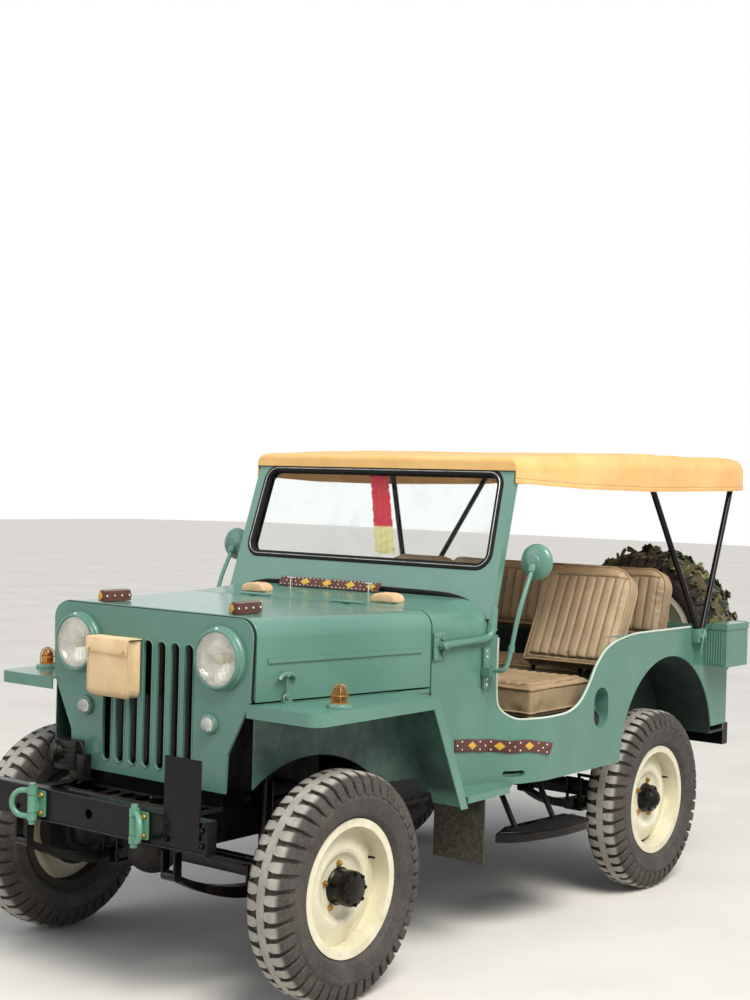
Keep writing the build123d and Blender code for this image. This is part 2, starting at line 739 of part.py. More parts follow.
def hood():
    """Top and sides in one pressing, with the rib along each side and the hinge barrels at the back."""
    outer = arch_loft(hood_sections())
    inner_sections = [
        (y + shift, half, bottom - 1, top, corner)
        for (y, half, bottom, top, corner), shift in zip(hood_sections(), (-1, 1))
    ]
    shape = outer - arch_loft(inner_sections, SHEET)
    rib_low, rib_high = 1074, 1088
    points = [
        (hood_line(-165) - 3, -165),
        (hood_line(-165) + 6, -165),
        (hood_line(505) + 6, 505),
        (hood_line(505) - 3, 505),
    ]
    for side in SIDES:
        rib = plan_prism([(side * x, y) for x, y in points], (rib_low, rib_high))
        shape += rib
    for low, high in HOOD_KNUCKLES:
        shape += rod((low, HINGE_Y, HINGE_Z), (high, HINGE_Y, HINGE_Z), HINGE_RADIUS)
        shape += block((low, high), (HOOD_REAR - 22, HINGE_Y), (HOOD_TOP - 1, HOOD_TOP + 3))
    return shape


def cowl_sections():
    return [
        (COWL_FRONT, HOOD_HALF_REAR, SILL + 8, HOOD_TOP, HOOD_CORNER),
        (COWL_REAR, cowl_line(COWL_REAR), SILL + 8, COWL_TOP, COWL_CORNER),
    ]


def cowl_solid(grow=0.0):
    return arch_loft(cowl_sections(), -grow)


def cowl():
    """Scuttle, sides and firewall in front of the doors."""
    inner_sections = [
        (y + shift, half, bottom - 1, top, corner)
        for (y, half, bottom, top, corner), shift in zip(cowl_sections(), (0, 1))
    ]
    inner = arch_loft(inner_sections, SHEET + 1)
    keep = block((-800, 800), (COWL_FRONT + SHEET, SCREEN_Y + 40), (0, 1300))
    shape = cowl_solid() - (inner & keep)
    shape -= block((-800, 800), (DOOR_FRONT, SCREEN_Y + 40), (0, 1130))
    shape -= block((-560, 560), (COWL_FRONT - 1, COWL_FRONT + SHEET + 1), (0, 700))
    toe = side_prism([(COWL_FRONT, 706), (COWL_FRONT, 700), (780, FLOOR_TOP), (788, FLOOR_TOP)], (-590, 590))
    shape += toe
    shape -= rod(COLUMN_FOOT, tuple(WHEEL_CENTRE), 28)
    for low, high in COWL_KNUCKLES:
        shape += rod((low, HINGE_Y, HINGE_Z), (high, HINGE_Y, HINGE_Z), HINGE_RADIUS)
        shape += block((low, high), (HINGE_Y, COWL_FRONT + 22), (HOOD_TOP - 1, HOOD_TOP + 3))
    return shape


def dashboard():
    shape = block((-COWL_HALF, COWL_HALF), (DOOR_FRONT - 20, DOOR_FRONT), (1000, 1130))
    shape = shape & cowl_solid(-SHEET - 1 - RUNNING_GAP)
    shape += rod((-130, DOOR_FRONT, 1070), (-130, DOOR_FRONT + 10, 1070), 48)
    return shape - rod(COLUMN_FOOT, tuple(WHEEL_CENTRE), 24)


def door_cut():
    """The door opening from the side: a rounded front corner, a level sill and a long S up to the rail."""
    post = [(DOOR_POST, 920), (DOOR_POST + 10, 852), (940, 813)]
    sill = [(1021, 808), (1150, 808), (1245, 814), (1323, 843)]
    rise = [(1385, 900), (1440, 972), (1503, 1025), (1576, 1054), (1665, 1070), (1765, RAIL_HEIGHT)]
    curve = Spline(*(post + sill + rise), tangents=((0, -1), (1, 0)))
    top = RAIL_HEIGHT + 200
    ends = Polyline((DOOR_POST, 920), (DOOR_POST, top), (1765, top), (1765, RAIL_HEIGHT))
    plane = Plane(origin=(COWL_HALF - 100, 0, 0), x_dir=(0, 1, 0), z_dir=(1, 0, 0))
    return extrude(plane * make_face([curve] + ends.edges()), amount=BODY_HALF)


def body_side(side):
    """The tub's side: it widens behind the cowl and runs straight to the tail."""
    flare_end = FLARE[-1][1]
    shape = flare_band(0, -WALL, (DOOR_FRONT + RUNNING_GAP, flare_end), (SILL, RAIL_HEIGHT + 39))
    shape += block((BODY_HALF - WALL, BODY_HALF), (flare_end, BODY_REAR), (SILL, RAIL_HEIGHT))
    shape -= door_cut()
    shape -= rod((COWL_HALF, ARCH_Y, ARCH_Z), (BODY_HALF + 10, ARCH_Y, ARCH_Z), ARCH_RADIUS)
    tail = [(ARCH_Y, SILL - 20), (BODY_REAR + 1, SILL - 20), (BODY_REAR + 1, 636), (ARCH_Y, 630)]
    shape -= side_prism(tail, (COWL_HALF, BODY_HALF + 10))
    slot = Plane(origin=(COWL_HALF, 945, 612), x_dir=(0, 1, 0), z_dir=(1, 0, 0)) * SlotOverall(84, 22)
    shape -= extrude(slot, amount=120)
    cup = Plane(origin=(BODY_HALF - 60, 1485, 806), x_dir=(0, 1, 0), z_dir=(1, 0, 0))
    if side > 0:
        shape += extrude(cup * SlotOverall(169, 121, rotation=90), amount=60 - WALL / 2)
        shape -= extrude(cup * Pos(0, 0, SHEET) * SlotOverall(157, 109, rotation=90), amount=70)
        shape -= rod(*FILLER, FILLER_RADIUS + 2)
    shape = shape if side > 0 else mirror(shape, Plane.YZ)
    return shape


def floor_pan():
    gap = RUNNING_GAP
    inner = BODY_HALF - WALL - gap
    points = [
        (COWL_HALF - 20, 790),
        *flare(-WALL - 3),
        (inner, ARCH_Y - ARCH_RADIUS),
        (490, ARCH_Y - ARCH_RADIUS),
        (490, ARCH_Y + ARCH_RADIUS),
        (inner, ARCH_Y + ARCH_RADIUS),
        (inner, BODY_REAR - WALL - gap),
    ]
    outline = points + [(-x, y) for x, y in reversed(points)]
    return plan_prism(outline, (RAIL_TOP, FLOOR_TOP))


def wheelhouses():
    """Round housings over the rear wheels inside the tub, open below and towards the wheel."""
    inner, outer = ARCH_RADIUS + 3, ARCH_RADIUS + 9
    face = BODY_HALF - WALL - RUNNING_GAP
    low = FLOOR_TOP + RUNNING_GAP
    shape = rod((484, ARCH_Y, ARCH_Z), (face, ARCH_Y, ARCH_Z), outer)
    shape -= rod((490, ARCH_Y, ARCH_Z), (face + 1, ARCH_Y, ARCH_Z), inner)
    shape -= block((400, BODY_HALF), (ARCH_Y - outer - 1, ARCH_Y + outer + 1), (0, low))
    return both(shape)


def rear_panel():
    """The tail, with the plate that carries the spare wheel."""
    inner = BODY_HALF - WALL - 0.3
    shape = block((-inner, inner), (BODY_REAR - WALL, BODY_REAR), (SILL + 30, 1060))
    return shape


def fender():
    """Flat top, turned-down lip, sloping flap behind the wheel and the apron inside it."""
    outer_profile = [
        (FENDER_FRONT, FENDER_TOP - FENDER_LIP),
        (FENDER_FRONT, FENDER_TOP),
        (FENDER_BEND, FENDER_TOP),
        (FLAP_END, FLAP_BOTTOM),
        (FLAP_END - 40, FLAP_BOTTOM),
        (FENDER_BEND - 27, FENDER_TOP - FENDER_LIP),
    ]
    inner_profile = [
        (FENDER_FRONT + SHEET, FLAP_BOTTOM - 20),
        (FENDER_FRONT + SHEET, FENDER_TOP - SHEET),
        (FENDER_BEND - 3, FENDER_TOP - SHEET),
        (FLAP_END + 3, FLAP_BOTTOM - 20),
    ]
    outer = side_prism(outer_profile, (380, BODY_HALF))
    inner = side_prism(inner_profile, (300, BODY_HALF - SHEET))
    corner = 45
    x, y = BODY_HALF - corner, FENDER_FRONT + corner
    rounding = block((x, BODY_HALF + 1), (FENDER_FRONT - 1, y), (800, 1000))
    rounding -= rod((x, y, 790), (x, y, 1010), corner)
    inner_corner = block((x, BODY_HALF + 1), (FENDER_FRONT - 1, y), (500, 1000))
    inner_corner -= rod((x, y, 490), (x, y, 1010), corner - SHEET)
    shape = (outer - rounding) - (inner - inner_corner)
    shape = shape & side_wedge(-7, (FENDER_FRONT, FLAP_END + 5), (400, 1000))
    low, high = GRILLE_FRONT + GRILLE_THICK + 6, COWL_FRONT - 6
    apron = [
        (hood_line(low) - 7, low),
        (hood_line(low) - 2, low),
        (hood_line(high) - 2, high),
        (hood_line(high) - 7, high),
    ]
    arch = rod((300, APRON_ARCH_Y, HUB_Z), (700, APRON_ARCH_Y, HUB_Z), APRON_ARCH_RADIUS)
    shape += plan_prism(apron, (RAIL_TOP + 40, FENDER_TOP - 1)) - arch
    shape -= block((380, cowl_line(FLAP_END) + RUNNING_GAP), (COWL_FRONT - RUNNING_GAP, 700), (400, 1000))
    return shape


def hood_latches():
    """A spring catch on each fender beside the hood."""
    x = hood_line(-98) + 16
    shape = rod((x, -98, FENDER_TOP), (x, -98, 1036), 7)
    shape += rod((x, -134, 1036), (x, -62, 1036), 7)
    shape += block((x - 7, x + 18), (-116, -80), (FENDER_TOP, FENDER_TOP + 8))
    return both(shape)


def step_plates():
    """The small flat step between the fender and the door on each side."""
    front = FLAP_END + RUNNING_GAP
    side = flare(5)
    points = [
        (cowl_line(front) + RUNNING_GAP, front),
        (BODY_HALF, front),
        (BODY_HALF, DOOR_FRONT),
        side[2],
        side[1],
        (COWL_HALF + 0.5, DOOR_FRONT),
    ]
    shape = plan_prism(points, (STEP_TOP - SHEET, STEP_TOP))
    shape += block((BODY_HALF - SHEET, BODY_HALF), (front, DOOR_FRONT), (STEP_TOP - 23, STEP_TOP))
    return both(shape)


# Screen and roof.


def screen_plane():
    angle = math.radians(SCREEN_RAKE)
    normal = (0, -math.cos(angle), math.sin(angle))
    return Plane(origin=(0, SCREEN_Y, COWL_TOP), x_dir=(1, 0, 0), z_dir=normal)


def glass_outline(inset):
    corner = GLASS_CORNER - inset
    foot, head = GLASS_FOOT_HALF - inset, GLASS_HEAD_HALF - inset
    low, high = GLASS_FOOT + inset, GLASS_HEAD - inset
    outline = Polyline((-foot, low), (foot, low), (head, high), (-head, high), close=True)
    face = make_face(outline)
    return fillet(face.vertices(), corner)


def windscreen_frame():
    """The folding frame with its arms down the cowl."""
    foot = -125
    corners = [
        (-SCREEN_FOOT - 4, foot),
        (SCREEN_FOOT + 4, foot),
        (SCREEN_HEAD, SCREEN_HEIGHT),
        (-SCREEN_HEAD, SCREEN_HEIGHT),
    ]
    outline = make_face(Polyline(*corners, close=True))
    outline = fillet(outline.vertices().group_by(Axis.Y)[-1], 28)
    shape = extrude(screen_plane() * (outline - glass_outline(0)), amount=SCREEN_THICK / 2, both=True)
    shape -= cowl_solid(RUNNING_GAP)
    shape -= block((-COWL_HALF - 2, COWL_HALF + 2), (DOOR_FRONT - 100, SCREEN_Y + 100), (1000, 1175))
    for side in SIDES:
        path = [
            (side * (SCREEN_FOOT + 4), SCREEN_Y - 22, 1190),
            (side * (SCREEN_FOOT + 8), DOOR_FRONT - 6, 1108),
            (side * (HOOD_HALF_REAR + 20), COWL_FRONT + 34, 1093),
        ]
        shape += tube(path, 45, 12)
        pivot = (side * (cowl_line(COWL_FRONT + 50) + RUNNING_GAP), COWL_FRONT + 34, 1093)
        shape += rod(pivot, (side * (HOOD_HALF_REAR + 32), COWL_FRONT + 34, 1093), 16)
    return shape


def windscreen_glass():
    return extrude(screen_plane() * glass_outline(0.5), amount=GLASS_THICK / 2, both=True)


def canopy_sections():
    """Sections of the roof: y, half width, foot, crown and corner radius."""
    return [
        (ROOF_FRONT, 638, 1668, 1763, 40),
        (FRONT_BOW_Y - 500, 680, BOW_TOP - 131, BOW_TOP + 7, 60),
        (FRONT_BOW_Y, 700, BOW_TOP - 135, BOW_TOP + 20, 64),
        (REAR_BOW_Y - 60, 700, BOW_TOP - 123, BOW_TOP + 25, 64),
        (ROOF_REAR, 682, BOW_TOP - 119, BOW_TOP + 21, 60),
    ]


def canopy():
    """The stretched canvas roof, closed at the front and back edges and open below."""
    outer = arch_loft(canopy_sections())
    sections = canopy_sections()
    inner_sections = []
    for index, (y, half, bottom, top, corner) in enumerate(sections):
        shift = ROOF_SKIN if index == 0 else -ROOF_SKIN if index == len(sections) - 1 else 0
        inner_sections.append((y + shift, half, bottom - 1, top, corner))
    shape = outer - arch_loft(inner_sections, ROOF_SKIN)
    opening = block((-SCREEN_HEAD - 3, SCREEN_HEAD + 3), (ROOF_FRONT - 1, ROOF_FRONT + 60), (1600, 1714))
    return shape - opening


def canopy_bows():
    """Two hoops hinged on the tub's sides, with their pivot brackets."""
    shapes = []
    half = 700 - ROOF_SKIN - BOW_RADIUS - 27
    x = BODY_HALF + 4 + BOW_RADIUS
    for y, shift in ((FRONT_BOW_Y, -16), (REAR_BOW_Y, 16)):
        foot = BOW_PIVOT_Y + shift
        path = [(x, foot, BOW_PIVOT_Z), (half, y, BOW_TOP), (-half, y, BOW_TOP), (-x, foot, BOW_PIVOT_Z)]
        shapes.append(tube(path, 70, BOW_RADIUS))
    hoops = shapes[0] + shapes[1]
    for side in SIDES:
        inner, outer = sorted((side * BODY_HALF, side * (x + BOW_RADIUS + 2)))
        plate_y = (BOW_PIVOT_Y - 40, BOW_PIVOT_Y + 40)
        hoops += block((inner, outer), plate_y, (BOW_PIVOT_Z - 45, BOW_PIVOT_Z + 10))
    return hoops


def mirror_piece():
    """Round mirror on a bent stalk from the front of the door opening."""
    foot = (COWL_HALF + 1, DOOR_FRONT - 20, 1000)
    head = Vector(741, 1002, 1383)
    path = [foot, (725, DOOR_FRONT - 20, 995), (741, 885, 1190), (741, 975, 1350)]
    shape = tube(path, 40, 8)
    shape += rod((741, 968, 1340), (741, 990, 1372), 12)
    shape += rod((741, 984, 1383), (741, 1012, 1383), 66)
    shape += block((COWL_HALF - 6, COWL_HALF + 10), (DOOR_FRONT - 40, DOOR_FRONT - 2), (925, 1075))
    return shape


def mirrors():
    return both(mirror_piece() - cowl_solid(RUNNING_GAP))


# Seats.


def seat_cushions():
    half = SEAT_WIDTH / 2
    front = block((SEAT_X - half, SEAT_X + half), (SEAT_FRONT, SEAT_REAR), (SEAT_TOP - SEAT_PAD, SEAT_TOP))
    rear = block((-470, 470), (1850, 2215), (780, 890))
    return both(front) + [rear]


def back_plane(x, y, z, rake):
    """A plane on a seat back's front face, with Y up the slope."""
    angle = math.radians(rake)
    return Plane(origin=(x, y, z), x_dir=(1, 0, 0), z_dir=(0, -math.cos(angle), math.sin(angle)))


def seat_back(half, length, plane, corner):
    outline = Polyline((-half, 0), (half, 0), (half, length), (-half, length), close=True)
    face = make_face(outline)
    top = face.vertices().group_by(Axis.Y)[-1]
    return extrude(plane * fillet(top, corner), amount=-BACK_THICK)


def seat_backs():
    half = SEAT_WIDTH / 2
    shapes = []
    for x in (SEAT_X, -SEAT_X):
        shapes.append(seat_back(half, BACK_LENGTH, back_plane(x, BACK_Y, BACK_Z, BACK_RAKE), 115))
    rear = back_plane(0, REAR_BACK_Y, REAR_BACK_Z, REAR_BACK_RAKE)
    return shapes + [seat_back(600, 325, rear, 100)]


def back_post(x, foot_y, foot_z, y, z, rake, length):
    """A tube that rises behind a seat back and lies along its rear face."""
    radius = 11
    angle = math.radians(rake)
    reach = BACK_THICK + radius + RUNNING_GAP
    start_y, start_z = y + reach * math.cos(angle), z - reach * math.sin(angle)
    knee = start_y - (start_z - foot_z) * math.tan(angle)
    top = (x, start_y + length * math.sin(angle), start_z + length * math.cos(angle))
    return tube([(x, foot_y, foot_z), (x, knee, foot_z), top], 45, radius)


def legs(xs, ys):
    """Round legs from the floor to a seat's tray."""
    top = SEAT_TOP - SEAT_PAD - 8
    shapes = [rod((x, y, FLOOR_TOP), (x, y, top), 11) for x in xs for y in ys]
    return shapes[0] + shapes[1:]


def seat_frames():
    """Steel trays under the cushions, their legs and the posts that carry the backs."""
    half = SEAT_WIDTH / 2
    tray_z = (SEAT_TOP - SEAT_PAD - 14, SEAT_TOP - SEAT_PAD)
    middle = sum(tray_z) / 2
    stand = block((SEAT_X - half + 10, SEAT_X + half - 10), (SEAT_FRONT + 10, SEAT_REAR + 20), tray_z)
    for x in (SEAT_X - half + 24, SEAT_X + 26):
        stand += back_post(x, SEAT_REAR + 10, middle, BACK_Y, BACK_Z, BACK_RAKE, 300)
    xs = (SEAT_X - half + 30, SEAT_X + half - 30)
    left = stand + legs(xs, (SEAT_FRONT + 30,)) + legs((SEAT_X - half + 30, SEAT_X), (SEAT_REAR + 5,))
    right = stand + legs(xs, (SEAT_FRONT + 30, SEAT_REAR - 30))
    rear = block((-450, 450), (1870, 2235), tray_z)
    for x in (-420, 420):
        rear += legs((x,), (1900, 2190))
        rear += back_post(x, 2225, middle, REAR_BACK_Y, REAR_BACK_Z, REAR_BACK_RAKE, 230)
    return [left, mirror(right, Plane.YZ), rear]


# Spare wheel, boxes and soft pieces.


def spare(shape):
    return Pos(SPARE_X, SPARE_Y, SPARE_Z) * Rot(0, 0, 90) * shape


def spare_carrier():
    """A bracket on the tail that the spare wheel's disc is bolted to."""
    shape = block((SPARE_X - 110, SPARE_X + 110), (BODY_REAR, BODY_REAR + 12), (SPARE_Z - 110, 1055))
    seat = SPARE_Y + DISC[0][0] - DISC_THICK - RUNNING_GAP
    shape += rod((SPARE_X, BODY_REAR, SPARE_Z), (SPARE_X, seat, SPARE_Z), 60)
    return shape


def side_boxes():
    """An open steel box on the outside of the tub at each rear corner."""
    x = (BODY_HALF + RUNNING_GAP, BOX_OUTER)
    y = (BOX_FRONT, BOX_REAR)
    wall = 4
    shape = block(x, y, (BOX_BOTTOM, BOX_TOP))
    shape -= block((x[0] + wall, x[1] - wall), (y[0] + wall, y[1] - wall), (BOX_BOTTOM + wall, BOX_TOP + 1))
    shape += block((x[0], LID_INNER + 12), y, (BOX_TOP - wall, BOX_TOP))
    return both(shape)


def box_lid():
    """A lid hinged along its back edge, with a skirt over the box's front and outer side."""
    gap = 0.6
    skirt = 4
    low = BOX_TOP + gap
    x = (LID_INNER, BOX_OUTER + gap + skirt)
    front = BOX_FRONT - gap - skirt
    shape = block(x, (front, LID_HINGE_Y), (low, low + 5))
    shape += block(x, (front, front + skirt), (low - 20, low + 5))
    shape += block((x[1] - skirt, x[1]), (front, BOX_REAR), (low - 20, low + 5))
    return shape + rod((x[0] + 12, LID_HINGE_Y, LID_HINGE_Z), (x[1] - 12, LID_HINGE_Y, LID_HINGE_Z), 5)


def canvas_bags():
    """A bag on the grille and two pads on the cowl."""
    lamp_front = GRILLE_FRONT - 44 - RUNNING_GAP
    bag = block((-322, -196), (lamp_front - 32, lamp_front), (905, 1090))
    bag += block((-224, -198), (lamp_front - 1, GRILLE_FRONT - RUNNING_GAP), (915, 1075))
    pad = block((268, 368), (633, 693), (1215, 1256)) - cowl_solid(RUNNING_GAP)
    return [bag] + both(pad)


def hood_blocks():
    shape = block((262, 358), (-185, -125), (HOOD_TOP + RUNNING_GAP, HOOD_TOP + 43))
    return both(shape)


def straps():
    """Leather straps on the cowl's sides, which run back onto the tub."""
    thick = 5
    gap = RUNNING_GAP
    front = [
        (cowl_line(682) + gap, 682),
        (COWL_HALF + gap, DOOR_FRONT),
        (COWL_HALF + gap + thick, DOOR_FRONT),
        (cowl_line(682) + gap + thick, 682),
    ]
    band = side_prism([(682, 714), (682, 752), (1109, 714), (1109, 676)], (500, 800))
    shape = plan_prism(front, (600, 800)) + flare_band(gap + thick, gap, (DOOR_FRONT, 1109), (600, 800))
    return both(shape & band)


def hanging_cloth():
    return block((20, 110), (1046, 1052), (1380, 1712))


def build():
    """Every sub-part by name."""
    parts = {}
    for name, side, y in (
        ("front_left", 1, 0),
        ("front_right", -1, 0),
        ("rear_left", 1, WHEELBASE),
        ("rear_right", -1, WHEELBASE),
    ):
        parts["tyre_" + name] = place_wheel(tyre(), side, y)
        rear = y > 0
        hub = REAR_HUB_LENGTH if rear else HUB_LENGTH
        parts["wheel_" + name] = place_wheel(rim(hub, True, rear), side, y)
    parts["spare_tyre"] = spare(tyre())
    parts["spare_rim"] = spare(rim(0, False, False))
    parts["spare_carrier"] = spare_carrier()
    parts["front_axle"] = front_axle()
    parts["rear_axle"] = rear_axle()
    parts["knuckle_left"] = knuckle(1)
    parts["knuckle_right"] = knuckle(-1)
    parts["tie_rod"] = tie_rod()
    parts["drop_arm"] = drop_arm()
    parts["drag_link"] = drag_link()
    parts["steering_column"] = steering_column()
    parts["steering_wheel"] = steering_wheel()
    parts["leaf_springs"] = [leaf_spring(x, y) for x in (RAIL_X, -RAIL_X) for y in (0, WHEELBASE)]
    parts["shock_absorbers"] = shock_absorbers()
    parts["frame"] = frame()
    parts["front_bumper"] = front_bumper()
    parts["tow_shackles"] = tow_shackles()
    parts["engine"] = engine()
    parts["propshafts"] = propshafts()
    parts["exhaust"] = exhaust()
    parts["fuel_tank"] = fuel_tank()
    parts["foot_steps"] = foot_steps()
    parts["mudflaps"] = mudflaps()
    parts["grille"] = grille()
    parts["headlamps"] = headlamps()
    parts["small_lamps"] = small_lamps()
    parts["radiator"] = radiator()
    parts["hood"] = hood()
    parts["hood_blocks"] = hood_blocks()
    parts["hood_latches"] = hood_latches()
    parts["cowl"] = cowl()
    parts["dashboard"] = dashboard()
    parts["body_sides"] = [body_side(1), body_side(-1)]
    parts["floor_pan"] = floor_pan()
    parts["wheelhouses"] = wheelhouses()
    parts["rear_panel"] = rear_panel()
    parts["front_fenders"] = both(fender())
    parts["step_plates"] = step_plates()
    parts["windscreen_frame"] = windscreen_frame()
    parts["windscreen_glass"] = windscreen_glass()
    parts["canopy"] = canopy()
    parts["canopy_bows"] = canopy_bows()
    parts["mirrors"] = mirrors()
    parts["seat_cushions"] = seat_cushions()
    parts["seat_backs"] = seat_backs()
    parts["seat_frames"] = seat_frames()
    parts["side_boxes"] = side_boxes()
    parts["box_lid_left"] = box_lid()
    parts["box_lid_right"] = mirror(box_lid(), Plane.YZ)
    parts["canvas_bags"] = canvas_bags()
    parts["straps"] = straps()
    parts["hanging_cloth"] = hanging_cloth()
    return parts


def main():
    os.makedirs("parts", exist_ok=True)
    parts = {
        name: Compound(children=list(shape)) if isinstance(shape, list) else shape
        for name, shape in build().items()
    }
    boxes = [shape.bounding_box() for shape in parts.values()]
    front = min(box.min.Y for box in boxes)
    rear = max(box.max.Y for box in boxes)
    shift = -(front + rear) / 2
    print("front", front, "rear", rear, "shift along Y", shift)
    for name, shape in parts.items():
        export_step(Pos(0, shift, 0) * shape, "parts/" + name + ".step")


main()
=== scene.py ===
# %% [markdown]
# # Army 4x4 car
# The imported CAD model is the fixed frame. This file gives it paint, rubber, cloth and small trim.

import json
import math
import random

import bmesh
import bpy
import numpy as np
from mathutils import Matrix, Vector
from mathutils.bvhtree import BVHTree


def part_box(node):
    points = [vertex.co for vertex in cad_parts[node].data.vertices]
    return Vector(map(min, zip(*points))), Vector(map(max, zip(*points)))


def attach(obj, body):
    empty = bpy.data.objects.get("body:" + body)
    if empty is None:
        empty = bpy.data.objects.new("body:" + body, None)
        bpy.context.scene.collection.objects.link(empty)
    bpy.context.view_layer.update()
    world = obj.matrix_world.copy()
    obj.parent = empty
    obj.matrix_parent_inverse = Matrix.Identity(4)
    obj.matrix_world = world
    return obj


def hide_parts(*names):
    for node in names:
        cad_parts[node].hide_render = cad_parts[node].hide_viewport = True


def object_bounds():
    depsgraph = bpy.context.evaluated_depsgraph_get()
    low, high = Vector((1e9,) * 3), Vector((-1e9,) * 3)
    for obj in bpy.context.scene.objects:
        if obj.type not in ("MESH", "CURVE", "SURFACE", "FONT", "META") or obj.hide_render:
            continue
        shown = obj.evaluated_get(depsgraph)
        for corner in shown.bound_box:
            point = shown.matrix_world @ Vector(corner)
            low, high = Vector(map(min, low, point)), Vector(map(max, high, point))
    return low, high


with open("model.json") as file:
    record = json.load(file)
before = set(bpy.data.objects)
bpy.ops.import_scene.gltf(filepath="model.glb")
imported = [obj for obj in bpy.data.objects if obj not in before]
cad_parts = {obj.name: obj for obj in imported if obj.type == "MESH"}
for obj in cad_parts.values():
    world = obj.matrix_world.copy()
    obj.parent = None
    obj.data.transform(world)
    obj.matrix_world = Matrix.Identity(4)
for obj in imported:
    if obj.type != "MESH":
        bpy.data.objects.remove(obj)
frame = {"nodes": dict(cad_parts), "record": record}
NODES = frame["nodes"]
SIDES = ((1, "left"), (-1, "right"))
CAD_LOW, CAD_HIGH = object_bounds()
print("nodes", len(NODES), "box", CAD_LOW, CAD_HIGH)

# %% [markdown]
# Places are written in millimetres from the front axle: x to the car's left, y to the rear, z up.

# %% Places
TYRE_LOW, TYRE_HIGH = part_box("tyre_front_left")
AXLE_Y = (TYRE_LOW.y + TYRE_HIGH.y) / 2


def at(x, y, z):
    """A point in metres in the row frame, from millimetres behind the front axle."""
    return Vector((x / 1000, y / 1000 + AXLE_Y, z / 1000))


print("front axle at", round(AXLE_Y, 5))

# %% [markdown]
# The camera stands in front on the car's left, at eye height, as in the photograph.

# %% Camera
YAW, PITCH, ROLL = -0.660, -0.012, 0.027
FOCAL_MM, SENSOR_MM = 57.955, 36.0
CAMERA_PLACE = (3863, -3994, 1663)

scene = bpy.context.scene
camera_data = bpy.data.cameras.new("camera")
camera_data.lens, camera_data.sensor_width, camera_data.clip_end = FOCAL_MM, SENSOR_MM, 60.0
camera = bpy.data.objects.new("camera", camera_data)
scene.collection.objects.link(camera)
scene.camera = camera

forward = Vector((math.cos(PITCH) * math.sin(YAW), math.cos(PITCH) * math.cos(YAW), math.sin(PITCH)))
level_right = forward.cross(Vector((0, 0, 1))).normalized()
level_up = level_right.cross(forward)
right = level_right * math.cos(ROLL) + level_up * math.sin(ROLL)
up = level_up * math.cos(ROLL) - level_right * math.sin(ROLL)
turn = Matrix((right, up, -forward)).transposed().to_4x4()
camera.matrix_world = Matrix.Translation(at(*CAMERA_PLACE)) @ turn
print("camera at", tuple(round(v, 3) for v in camera.location))

# %% [markdown]
# A pale floor, soft lights from above and from both sides, and a sky that the camera sees as plain white.

# %% Stage
scene.view_settings.view_transform = "Standard"
SKY_COLOUR, SKY_POWER, WHITE = (0.86, 0.92, 1.0, 1), 0.45, (1, 1, 1, 1)
FLOOR_HALF, FLOOR_DROP = 40, 0.0005
CENTRE = at(0, 1100, 800)

world = bpy.data.worlds.new("sky")
scene.world = world
world.use_nodes = True
sky = world.node_tree
sky.nodes.clear()


def sky_node(kind, *feeds, **settings):
    """A node of the sky, with its inputs linked or set in their order."""
    node = sky.nodes.new("ShaderNode" + kind)
    for key, value in settings.items():
        setattr(node, key, value)
    for socket, feed in zip(node.inputs, feeds):
        if isinstance(feed, bpy.types.NodeSocket):
            sky.links.new(feed, socket)
        else:
            socket.default_value = feed
    return node.outputs


rays = sky_node("LightPath")
seen = sky_node("Math", rays["Is Camera Ray"], rays["Is Glossy Ray"], operation="MAXIMUM")[0]
seen = sky_node("Math", seen, rays["Is Transmission Ray"], operation="MAXIMUM")[0]
lit, white = sky_node("Background", SKY_COLOUR, SKY_POWER)[0], sky_node("Background", WHITE, 1.0)[0]
sky_node("OutputWorld", sky_node("MixShader", seen, lit, white)[0])


def soft_light(name, kind, power, colour, way, place=(0, 0, 0), **settings):
    """A light that shines along a direction."""
    data = bpy.data.lights.new(name, kind)
    data.energy, data.color = power, colour
    for key, value in settings.items():
        setattr(data, key, value)
    lamp = bpy.data.objects.new(name, data)
    scene.collection.objects.link(lamp)
    lamp.location = place
    lamp.rotation_mode = "QUATERNION"
    lamp.rotation_quaternion = way.to_track_quat("-Z", "Y")


soft_light("soft_sun", "SUN", 2.1, (1.0, 0.97, 0.92), Vector((-0.8, 0.42, -1.35)), angle=math.radians(28))
for name, place, size, power, colour in (
    ("key_light", at(4200, -600, 5200), 3.6, 230, (1.0, 0.96, 0.9)),
    ("fill_light", at(-3600, -4200, 3400), 5.0, 95, (0.92, 0.96, 1.0)),
):
    soft_light(name, "AREA", power, colour, CENTRE - place, place, shape="DISK", size=size)

floor_mesh = bpy.data.meshes.new("floor")
corners = [(x * FLOOR_HALF, y * FLOOR_HALF, CAD_LOW.z - FLOOR_DROP) for x, y in ((-1, -1), (1, -1), (1, 1), (-1, 1))]
floor_mesh.from_pydata(corners, [], [(0, 1, 2, 3)])
floor = bpy.data.objects.new("floor", floor_mesh)
scene.collection.objects.link(floor)

# %% [markdown]
# Materials are built from a few helpers. Every pattern reads the piece's own Object coordinates, which are
# the row frame in metres, because each mesh holds its place.

# %% Material helpers


